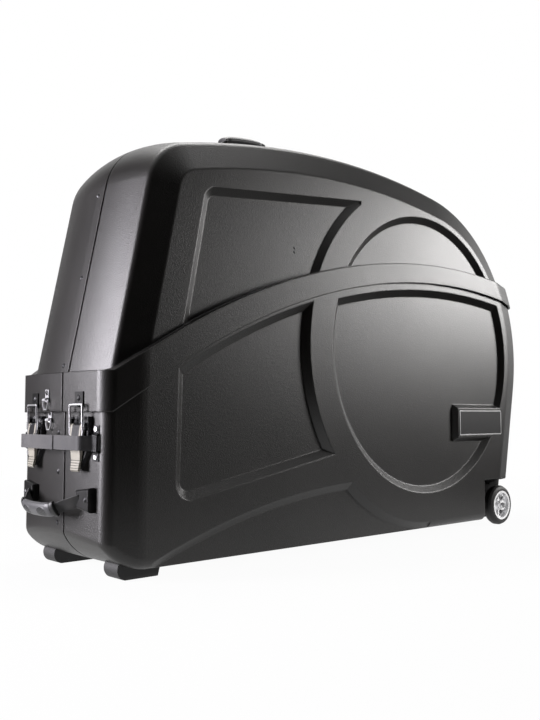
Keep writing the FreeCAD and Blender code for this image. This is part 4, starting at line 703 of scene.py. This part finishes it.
def tube_mesh(stations: list[Vector], side: Vector, halves: list[tuple[float, float]],
              rim: int = 32) -> bmesh.types.BMesh:
    """An oval bar swept along a flat line.

    Args:
        stations: centre line.
        side: direction of the oval's first axis, square to the line.
        halves: half axes of the oval at each station.
        rim: faces around.

    Returns:
        The closed bar.
    """
    frames = []
    for k, spot in enumerate(stations):
        way = (stations[min(k + 1, len(stations) - 1)] - stations[max(k - 1, 0)]).normalized()
        turn = Matrix((side * halves[k][0], way.cross(side) * halves[k][1], way)).transposed().to_4x4()
        frames.append(Matrix.Translation(spot) @ turn)
    mesh = bmesh.new()
    bmesh.ops.create_circle(mesh, cap_ends=True, segments=rim, radius=1.0, matrix=frames[0])
    edges = mesh.edges[:]
    for here, there in zip(frames, frames[1:]):
        grown = bmesh.ops.extrude_edge_only(mesh, edges=edges)["geom"]
        fresh = [g for g in grown if isinstance(g, bmesh.types.BMVert)]
        bmesh.ops.transform(mesh, verts=fresh, matrix=there @ here.inverted())
        edges = [g for g in grown if isinstance(g, bmesh.types.BMEdge)]
    bmesh.ops.contextual_create(mesh, geom=edges)
    return mesh


# Sub-assemblies


@dataclass
class Dresser:
    """Gives the case's own solids their finishes."""

    nodes: dict[str, bpy.types.Object]

    def dress(self, names: Iterable[str], material: bpy.types.Material) -> None:
        """Puts one finish on several solids.

        Args:
            names: names of the solids.
            material: the finish.
        """
        for name in names:
            data = self.nodes[name].data
            data.materials.clear()
            data.materials.append(material)
            LOG.info("dressed %s with %s", name, material.name)


def site_name(end: End, side: Side) -> str:
    """Ending of the names of the pieces of one latch."""
    return "%s_%s" % (end.value, side.name.lower())


@dataclass
class Shells:
    """The two halves of the base and of the lid, with their rivets and the plates on them."""

    dresser: Dresser
    halves: tuple[str, ...] = ("base_near_half", "base_far_half", "lid_near_half", "lid_far_half")
    rivet: Triple = (0.06, 0.06, 0.062)
    backing: Triple = (0.55, 0.55, 0.56)

    def build(self) -> None:
        """Dresses the shells."""
        self.dresser.dress(self.halves, MouldedSheet("grained_black_sheet").make())
        alloy = BrightMetal("rivet_alloy", self.rivet, gloss=0.3).make()
        self.dresser.dress(("base_rivets", "lid_rivets"), alloy)
        low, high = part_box("side_plate")
        centre = tuple((low + high) / 2)
        half = ((high.x - low.x) / 2, (high.z - low.z) / 2)
        self.dresser.dress(("side_plate",), BlankPlate("blank_side_plate", centre, half).make())
        steel = BrightMetal("backing_steel", self.backing, gloss=0.35).make()
        self.dresser.dress(("lid_backing_plate",), steel)


@dataclass
class Latches:
    """Dishes, levers and bails of the four draw latches, their strap anchors and the padlock rings."""

    dresser: Dresser
    plated: Triple = (0.86, 0.86, 0.87)

    def build(self) -> None:
        """Dresses the latches, the anchors and the rings."""
        gloss = GlossMoulding("gloss_black_moulding").make()
        chrome = BrightMetal("plated_wire", self.plated, gloss=0.24).make()
        for name in (site_name(end, side) for end in End for side in Side):
            self.dresser.dress(("latch_dish_" + name, "strap_anchor_" + name), gloss)
            self.dresser.dress(("latch_bail_" + name,), chrome)
            lever = LeverTwoTone("two_tone_lever_" + name, JOINTS["lever_%s_turn" % name])
            self.dresser.dress(("latch_lever_" + name,), lever.make())
        self.dresser.dress(("latch_pins", "base_screws", "lid_ring", "base_ring",
                            "lid_ring_tab", "base_ring_tab"), chrome)


@dataclass
class Straps:
    """Webbing straps over the latches: two tails that lap at the middle of each end.

    A pair is a distance from the middle of the end and a height off its wall.
    """

    width: float = 0.026
    gauge: float = 0.0018
    edge_round: float = 0.0005
    level: float = 0.244
    arch_centre: tuple[float, float] = (0.25188, 0.445)
    arch_radius: float = 0.433
    arch_turn: float = 0.20246
    crown: float = 1.5
    anchor: tuple[tuple[float, float], ...] = ((0.139, 0.00225), (0.1225, 0.00225))
    shoulder: tuple[tuple[float, float], ...] = ((0.114, 0.024), (0.1, 0.0245))
    inner: float = 0.070
    out: float = 0.0225
    lap: float = 0.022
    lift: float = 0.0021
    steps: int = 6
    root: float = 0.132
    keep: float = 0.14

    def place(self, end: End) -> Station:
        """Middle of the strap's seat on one end wall.

        Args:
            end: end of the case.

        Returns:
            The place on the outside of the wall.
        """
        if end is End.TOW:
            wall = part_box("base_far_half")[0].x
            return Station((wall, 0.0, self.level), Y_AXIS, Z_AXIS, (-1.0, 0.0, 0.0))
        level, plumb = math.cos(self.arch_turn), math.sin(self.arch_turn)
        middle = (self.arch_centre[0] + self.arch_radius * level, 0.0,
                  self.arch_centre[1] + self.arch_radius * plumb)
        return Station(middle, Y_AXIS, (-plumb, 0.0, level), (level, 0.0, plumb))

    def _wall(self, across: float) -> float:
        """Fall of the crowned end wall at a distance from its middle."""
        return self.crown - math.sqrt(self.crown ** 2 - across ** 2)

    def line(self, end: End, side: Side) -> list[Vector]:
        """Centre line of one tail.

        Args:
            end: end of the case.
            side: side that the tail is anchored on.

        Returns:
            Its points in the frame of the case.
        """
        rise = self.lift if side is Side.FAR else 0.0
        flat = [(a, b - self._wall(a)) for a, b in self.anchor + self.shoulder]
        flat.append((self.inner, self.out + rise - self._wall(self.inner) / 2))
        flat += [(self.lap, self.out + rise), (0.0, self.out + rise), (-self.lap, self.out + rise)]
        at = self.place(end)
        middle, across, out = Vector(at.origin), Vector(at.across), Vector(at.out)
        return [middle + across * (a * side.value) + out * b for a, b in flat]

    def build(self) -> None:
        """Makes the four tails."""
        for end in End:
            at = self.place(end)
            finish = WovenBand("strap_webbing_" + end.value, at.across, at.up).make()
            for side in Side:
                name = site_name(end, side)
                stations = curve_through(self.line(end, side), self.steps)
                band = band_mesh(stations, Vector(at.up), self.width, self.gauge)
                piece = rounded(finished(band, "strap_band_" + name, finish), self.edge_round)
                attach(piece, "base")
                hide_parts("strap_" + name)
                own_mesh(piece)
                LOG.info("made %s", piece.name)


@dataclass
class Handle:
    """A strap handle: webbing, a soft oval grip with ribbed thumb rests, and a collar at each end.

    The face is the angle in degrees from the wheel end upwards to the way that the grip stands out.
    """

    name: str
    holder: str
    rise: float
    face: float
    half: float = 0.104
    mouth: float = 0.082
    neck: float = 0.061
    end_shares: tuple[tuple[float, float], ...] = ((0.93, 0.06), (0.72, 0.5), (0.52, 0.86))
    grip_shares: tuple[tuple[float, float], ...] = ((0.26, 0.98), (0.0, 1.0))
    steps: int = 10
    overlap: float = 1e-6
    webbing: tuple[float, float] = (0.022, 0.0024)
    webbing_round: float = 0.0005
    weave: Triple = (0.007, 0.007, 0.007)
    grip: tuple[float, float] = (0.0145, 0.0085)
    grip_half: float = 0.052
    grip_round: float = 0.0012
    taper_share: float = 0.86
    taper_stations: int = 3
    collar: tuple[float, float] = (0.0152, 0.0078)
    collar_span: tuple[float, float] = (0.0495, 0.0605)
    collar_round: float = 0.0014
    collar_colour: Triple = (0.010, 0.010, 0.010)
    round_faces: int = 3
    round_angle: float = 60.0

    def place(self) -> Station:
        """Hinge of the handle, with axes along it, across the webbing and out of the wall."""
        hinge = JOINTS[self.name + "_swing"]
        face = math.radians(self.face)
        along, out = Vector(hinge["axis"]), Vector((math.cos(face), 0.0, math.sin(face)))
        return Station(tuple(hinge["pos_m"]), tuple(along), tuple(along.cross(out)), tuple(out))

    def line(self) -> list[Vector]:
        """Centre line of the webbing from end to end.

        Returns:
            Its points in the frame of the case.
        """
        right = [(a * self.half, b * self.rise) for a, b in self.end_shares + self.grip_shares]
        flat = [(-a, b) for a, b in right] + right[-2::-1]
        at = self.place()
        start, along, out = Vector(at.origin), Vector(at.across), Vector(at.out)
        return [start + along * a + out * b for a, b in flat]

    def stretch(self, low: float, high: float) -> list[Vector]:
        """Stations of the smooth centre line between two distances from its middle.

        Args:
            low: lesser distance along the hinge.
            high: greater distance along the hinge.

        Returns:
            The stations.
        """
        at = self.place()
        start, along = Vector(at.origin), Vector(at.across)
        smooth = curve_through(self.line(), self.steps)
        return [p for p in smooth if low <= (p - start).dot(along) <= high]

    def tail(self, word: str, sign: float, cloth: bpy.types.Material) -> None:
        """Makes half of the webbing, between its cap and the grip.

        Args:
            word: ending of its name.
            sign: side of the middle.
            cloth: its material.
        """
        at = self.place()
        ends = sorted((-sign * self.overlap, sign * self.half))
        band = band_mesh(self.stretch(*ends), Vector(at.up), *self.webbing)
        piece = rounded(finished(band, "%s_band_%s" % (self.name, word), cloth), self.webbing_round)
        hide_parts(self.name + "_webbing")
        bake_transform(piece)
        LOG.info("made %s", piece.name)

    def tube(self, finish: bpy.types.Material) -> bpy.types.Object:
        """Makes the oval grip, drawn in a little at its ends.

        Args:
            finish: its material.

        Returns:
            The grip.
        """
        run = self.stretch(-self.grip_half, self.grip_half)
        last = len(run) - 1
        grow = (1.0 - self.taper_share) / self.taper_stations
        shares = [min(1.0, self.taper_share + grow * min(k, last - k)) for k in range(len(run))]
        halves = [(self.grip[0] * t, self.grip[1] * t) for t in shares]
        tube = tube_mesh(run, Vector(self.place().up), halves)
        grip = finished(tube, self.name + "_tube", finish)
        rounded(grip, self.grip_round, self.round_faces, self.round_angle)
        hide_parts(self.name + "_grip")
        return grip

    def ring(self, word: str, sign: float, finish: bpy.types.Material) -> bpy.types.Object:
        """Makes the collar at one end of the grip.

        Args:
            word: ending of its name.
            sign: side of the middle.
            finish: its material.

        Returns:
            The collar.
        """
        run = self.stretch(*sorted(sign * reach for reach in self.collar_span))
        ring = tube_mesh(run, Vector(self.place().up), [self.collar] * len(run))
        piece = finished(ring, "%s_collar_%s" % (self.name, word), finish)
        rounded(piece, self.collar_round, self.round_faces, self.round_angle)
        return piece

    def build(self) -> None:
        """Makes the webbing, the grip and its collars."""
        at = self.place()
        ends = (("first", -1.0), ("second", 1.0))
        cloth = WovenBand(self.name + "_weave", at.across, at.up, self.weave).make()
        for word, sign in ends:
            self.tail(word, sign, cloth)
        pieces = [self.tube(GripRubber(self.name + "_rubber", at, self.rise).make())]
        plain = SoftRubber(self.name + "_collar_rubber", self.collar_colour, gloss=0.42, dust=0.15).make()
        pieces += [self.ring(word, sign, plain) for word, sign in ends]
        for piece in pieces:
            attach(piece, self.name)
            LOG.info("made %s", piece.name)


@dataclass
class Fittings:
    """Feet, wheels, carrier, caps and keepers."""

    dresser: Dresser
    rubber: Triple = (0.008, 0.008, 0.008)
    silver: Triple = (0.93, 0.93, 0.94)
    alloy: Triple = (0.6, 0.6, 0.61)
    alloy_drawn: Triple = (1400.0, 60.0, 60.0)
    steel: Triple = (0.7, 0.7, 0.71)
    dull: Triple = (0.005, 0.005, 0.005)

    def build(self) -> None:
        """Dresses the fittings."""
        rubber = SoftRubber("black_rubber", self.rubber, gloss=0.55, dust=0.12).make()
        self.dresser.dress(("foot_near", "foot_far", "tyre_near", "tyre_far"), rubber)
        silver = BrightMetal("hub_silver", self.silver, gloss=0.45).make()
        self.dresser.dress(("hub_near", "hub_far"), silver)
        alloy = BrightMetal("carrier_alloy", self.alloy, gloss=0.35, drawn=self.alloy_drawn).make()
        self.dresser.dress(("carrier_rail", "fork_mount", "bracket_cradle"), alloy)
        steel = BrightMetal("bright_steel", self.steel, gloss=0.18).make()
        self.dresser.dress(("fork_skewer", "skewer_lever", "axle_near", "axle_far"), steel)
        dull = GlossMoulding("dull_black_moulding", self.dull, gloss=0.34, mark=0.12, shine=0.2).make()
        self.dresser.dress(("tow_handle_caps", "top_handle_caps", "wheel_housing_near",
                            "wheel_housing_far", "latch_keepers"), dull)


@dataclass
class CradlePad:
    """Foam lining of the cradle's notch."""

    inset: float = 0.003
    trim: float = 0.001
    gauge: float = 0.0055
    steps: int = 18
    lanes: int = 16
    edge_round: float = 0.0018
    colour: Triple = (0.03, 0.03, 0.032)

    def build(self) -> None:
        """Makes the lining, half a turn round the notch."""
        low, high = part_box("cradle_pad")
        middle = Vector(((low.x + high.x) / 2, 0.0, high.z))
        turns = [math.pi * (1.0 + k / self.steps) for k in range(self.steps + 1)]
        radius, length = high.y - self.inset, high.x - low.x - self.trim
        stations = [middle + Vector((0.0, math.cos(t), math.sin(t))) * radius for t in turns]
        foam = SoftRubber("cradle_foam", self.colour, gloss=0.75, dust=0.5).make()
        band = band_mesh(stations, Vector(X_AXIS), length, self.gauge, self.lanes)
        piece = rounded(finished(band, "cradle_lining", foam), self.edge_round, 3)
        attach(piece, "cradle")
        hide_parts("cradle_pad")
        LOG.info("made %s", piece.name)


# Light and camera


@dataclass(frozen=True)
class SoftBox:
    """One rectangular lamp; sizes in metres and power in watts."""

    name: str
    place: Triple
    aim: Triple
    size: tuple[float, float]
    power: float
    tint: Triple = (1.0, 0.985, 0.975)

    def hang(self) -> None:
        """Adds the lamp to the scene, turned to its aim."""
        lamp = bpy.data.lights.new(self.name, "AREA")
        lamp.shape = "RECTANGLE"
        lamp.size, lamp.size_y = self.size
        lamp.energy = self.power
        lamp.color = self.tint
        holder = bpy.data.objects.new(self.name, lamp)
        holder.location = self.place
        way = Vector(self.aim) - Vector(self.place)
        holder.rotation_euler = way.to_track_quat("-Z", "Y").to_euler()
        bpy.context.scene.collection.objects.link(holder)


@dataclass
class Studio:
    """Pale floor, white surround, black cloth, soft boxes and the camera."""

    eye: Triple = (-1.3975, -1.4166, 0.2929)
    yaw: float = 47.92
    pitch: float = 3.85
    lens: float = 41.2
    sensor: float = 36.0
    sight: float = 100.0
    floor_half: float = 12.0
    floor_tone: Triple = (0.62, 0.62, 0.62)
    floor_share: float = 0.96
    floor_fade: tuple[float, float] = (0.8, 2.6)
    low_tone: Triple = (0.8, 0.82, 0.86)
    low_light: float = 0.03
    white: Triple = (1.0, 1.0, 1.0)
    cloth: Triple = (0.9, 5.0, 6.5)
    cloth_lift: float = 0.002
    cloth_from: float = 95.0
    cloth_turn: float = 260.0
    cloth_steps: int = 48
    cloth_tone: Triple = (0.012, 0.012, 0.012)
    lamps: tuple[SoftBox, ...] = (
        SoftBox("tow_end_box", (-2.6, 1.05, 0.85), (-0.65, 0.0, 0.5), (0.8, 1.6), 150.0, (0.97, 0.94, 1.0)),
        SoftBox("top_box", (0.3, 0.3, 2.9), (0.1, 0.0, 0.6), (2.4, 0.8), 70.0),
        SoftBox("side_box", (2.95, -1.7, 1.3), (0.3, -0.1, 0.6), (0.7, 0.75), 88.0),
    )

    def floor(self) -> None:
        """Makes the floor: almost white to the eye and in reflections, pale to the light."""
        mesh = bmesh.new()
        bmesh.ops.create_grid(mesh, x_segments=1, y_segments=1, size=self.floor_half)
        shop = Shop("studio_floor")
        rays = shop.node("ShaderNodeLightPath", output="Is Camera Ray")
        for other in ("Is Glossy Ray", "Is Transmission Ray"):
            rays = rays.most(shop.node("ShaderNodeLightPath", output=other))
        pale = shop.node("ShaderNodeBsdfDiffuse", None, {"Color": self.floor_tone})
        white = shop.node("ShaderNodeEmission", None, {"Color": self.white, "Strength": 1.0})
        place = shop.place()
        away = (shop.along(place, X_AXIS) ** 2.0 + shop.along(place, Y_AXIS) ** 2.0) ** 0.5
        share = rays * (away.rise(*self.floor_fade) * (1.0 - self.floor_share) + self.floor_share)
        shop.node_output(shop.node("ShaderNodeMixShader", None, {0: share, 1: pale, 2: white}))
        finished(mesh, "studio_floor", shop.material, False)

    def surround(self) -> None:
        """White for the eye and for reflections behind, a low grey for the light on the case."""
        world = bpy.data.worlds.new("studio_surround")
        bpy.context.scene.world = world
        world.use_nodes = True
        tree = world.node_tree
        tree.nodes.clear()
        path = tree.nodes.new("ShaderNodeLightPath")
        seen = path.outputs["Is Camera Ray"]
        for other in ("Is Glossy Ray", "Is Transmission Ray"):
            most = tree.nodes.new("ShaderNodeMath")
            most.operation = "MAXIMUM"
            tree.links.new(seen, most.inputs[0])
            tree.links.new(path.outputs[other], most.inputs[1])
            seen = most.outputs[0]
        mix = tree.nodes.new("ShaderNodeMixShader")
        tree.links.new(seen, mix.inputs[0])
        for slot, tone, strength in ((1, self.low_tone, self.low_light), (2, self.white, 1.0)):
            light = tree.nodes.new("ShaderNodeBackground")
            light.inputs["Color"].default_value = (*tone, 1.0)
            light.inputs["Strength"].default_value = strength
            tree.links.new(light.outputs[0], mix.inputs[slot])
        end = tree.nodes.new("ShaderNodeOutputWorld")
        tree.links.new(mix.outputs[0], end.inputs["Surface"])

    def curtain(self) -> None:
        """Hangs a black cloth round the front, over the floor too, that only reflections show."""
        near, far, top = self.cloth
        mesh = bmesh.new()
        start = Matrix.Rotation(math.radians(self.cloth_from), 4, "Z")
        corners = ((near, 0.0, self.cloth_lift), (far, 0.0, self.cloth_lift), (far, 0.0, top))
        spots = [mesh.verts.new(start @ Vector(corner)) for corner in corners]
        edges = [mesh.edges.new(pair) for pair in zip(spots, spots[1:])]
        bmesh.ops.spin(mesh, geom=spots + edges, cent=(0.0, 0.0, 0.0), axis=Z_AXIS,
                       angle=math.radians(self.cloth_turn), steps=self.cloth_steps, use_merge=False)
        shop = Shop("black_cloth")
        shop.node_output(shop.node("ShaderNodeBsdfDiffuse", None, {"Color": self.cloth_tone}))
        panel = finished(mesh, "black_cloth", shop.material)
        panel.visible_camera = False
        panel.visible_shadow = False
        panel.visible_diffuse = False

    def camera(self) -> None:
        """Puts the camera where the photograph was taken from."""
        data = bpy.data.cameras.new("eye")
        data.sensor_fit = "VERTICAL"
        data.sensor_height = self.sensor
        data.lens = self.lens
        data.clip_end = self.sight
        holder = bpy.data.objects.new("eye", data)
        yaw, pitch = math.radians(self.yaw), math.radians(self.pitch)
        level = math.cos(pitch)
        look = Vector((math.cos(yaw) * level, math.sin(yaw) * level, math.sin(pitch)))
        holder.location = self.eye
        holder.rotation_euler = look.to_track_quat("-Z", "Y").to_euler()
        bpy.context.scene.collection.objects.link(holder)
        bpy.context.scene.camera = holder

    def build(self) -> None:
        """Sets up floor, surround, lamps and camera."""
        bpy.context.scene.view_settings.view_transform = "Standard"
        self.floor()
        self.surround()
        self.curtain()
        for lamp in self.lamps:
            lamp.hang()
        self.camera()


def main() -> None:
    """Builds every sub-assembly in order."""
    logging.basicConfig(level=logging.INFO, format="%(message)s")
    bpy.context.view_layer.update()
    dresser = Dresser(frame["nodes"])
    Shells(dresser).build()
    Latches(dresser).build()
    Straps().build()
    Fittings(dresser).build()
    Handle("tow_handle", "base", rise=0.042, face=210.0).build()
    Handle("top_handle", "lid", rise=0.032, face=95.595).build()
    CradlePad().build()
    Studio().build()


if __name__ == "__main__":
    main()
